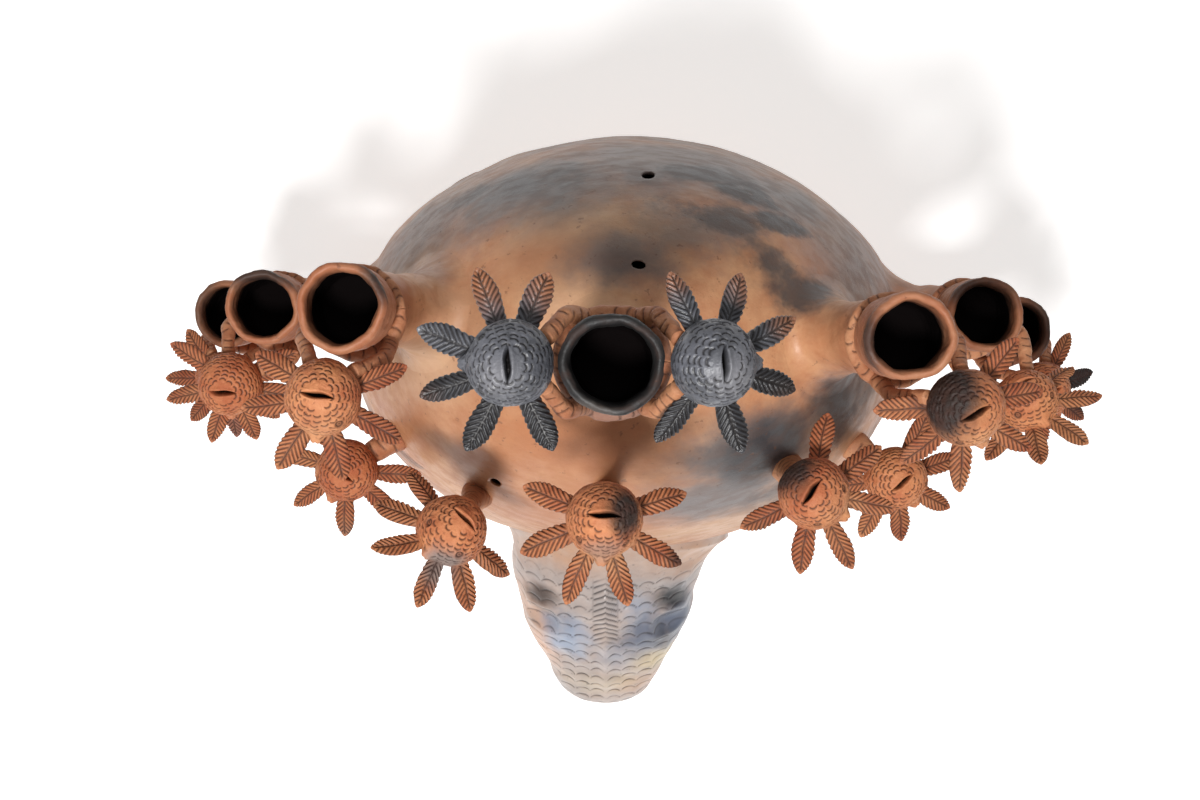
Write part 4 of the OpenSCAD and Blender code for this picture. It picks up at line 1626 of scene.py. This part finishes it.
class CLAY_OT_stage(bpy.types.Operator):
    """Lay the pale floor and set the lights and the camera"""

    bl_idname = "clay.stage"
    bl_label = "Stage"

    def execute(self, context):
        settings = context.scene.clay_stage
        deselect()
        bpy.ops.mesh.primitive_plane_add(size=9, location=(0, 0, 0))
        floor = context.object
        floor.name = "pale_floor"
        paper = bpy.data.materials.new("Pale floor")
        paper.use_nodes = True
        shader = paper.node_tree.nodes["Principled BSDF"]
        shader.inputs["Base Color"].default_value = (0.90, 0.90, 0.90, 1)
        shader.inputs["Roughness"].default_value = 0.9
        shader.inputs["Specular IOR Level"].default_value = 0.1
        shader.inputs["Emission Color"].default_value = (1.0, 0.985, 0.97, 1)
        shader.inputs["Emission Strength"].default_value = settings.floor_glow
        floor.data.materials.append(paper)
        area_light("front_light", (-0.25, -0.68, 1.95), (0, 0, 0.25), 0.36, settings.key)
        area_light("overhead_light", (0.15, 0.55, 2.1), (0, 0, 0.2), 1.6, settings.fill)
        world = bpy.data.worlds.new("Room")
        world.use_nodes = True
        background = world.node_tree.nodes["Background"]
        background.inputs["Color"].default_value = (1.0, 0.99, 0.98, 1)
        background.inputs["Strength"].default_value = settings.world
        context.scene.world = world
        context.scene.view_settings.view_transform = "Standard"
        place_camera(settings)
        return {"FINISHED"}


def area_light(name, place, aim, size, power):
    deselect()
    bpy.ops.object.light_add(type="AREA", location=place)
    light = bpy.context.object
    light.name = name
    light.data.shape = "DISK"
    light.data.size = size
    light.data.energy = power
    light.rotation_euler = (Vector(aim) - Vector(place)).to_track_quat("-Z", "Y").to_euler()


def place_camera(settings):
    """Looks almost straight down on the top cup."""
    deselect()
    top = rim_middle("top")
    bpy.ops.object.camera_add(location=(top[0], top[1] + 0.013, settings.camera_height))
    camera = bpy.context.object
    camera.name = "camera"
    camera.data.lens = settings.lens
    camera.data.sensor_width = 36
    camera.data.dof.use_dof = False
    ahead = Vector((-0.008, -0.0467, -1)).normalized()
    side = ahead.cross(Vector((0, 1, 0))).normalized()
    upward = side.cross(ahead)
    turn = Matrix((side, upward, -ahead)).transposed()
    camera.rotation_euler = turn.to_euler()
    bpy.context.scene.camera = camera


STEPS = (
    CLAY_OT_body,
    CLAY_OT_snout,
    CLAY_OT_tubes,
    CLAY_OT_cups,
    CLAY_OT_coils,
    CLAY_OT_birds,
    CLAY_OT_leaves,
    CLAY_OT_stage,
)


class CLAY_PT_tree(bpy.types.Panel):
    """Lists the sizes, the colours and the building steps"""

    bl_idname = "CLAY_PT_tree"
    bl_label = "Clay tree of life"
    bl_space_type = "VIEW_3D"
    bl_region_type = "UI"
    bl_category = "Clay tree"

    def draw(self, context):
        layout = self.layout
        for group in (context.scene.clay_sizes, context.scene.clay_colours, context.scene.clay_stage):
            box = layout.box()
            for name in group.__annotations__:
                box.prop(group, name)
        for step in STEPS:
            layout.operator(step.bl_idname)


CLASSES = (ClaySizes, ClayColours, StageSettings, *STEPS, CLAY_PT_tree)


def register():
    for item in CLASSES:
        bpy.utils.register_class(item)
    bpy.types.Scene.clay_sizes = bpy.props.PointerProperty(type=ClaySizes)
    bpy.types.Scene.clay_colours = bpy.props.PointerProperty(type=ClayColours)
    bpy.types.Scene.clay_stage = bpy.props.PointerProperty(type=StageSettings)


def unregister():
    del bpy.types.Scene.clay_stage
    del bpy.types.Scene.clay_colours
    del bpy.types.Scene.clay_sizes
    for item in reversed(CLASSES):
        bpy.utils.unregister_class(item)


def main():
    register()
    deselect()
    bpy.ops.clay.body()
    bpy.ops.clay.snout()
    bpy.ops.clay.tubes()
    bpy.ops.clay.cups()
    bpy.ops.clay.coils()
    bpy.ops.clay.birds()
    bpy.ops.clay.leaves()
    bpy.ops.clay.stage()
    deselect()


if __name__ == "__main__":
    main()
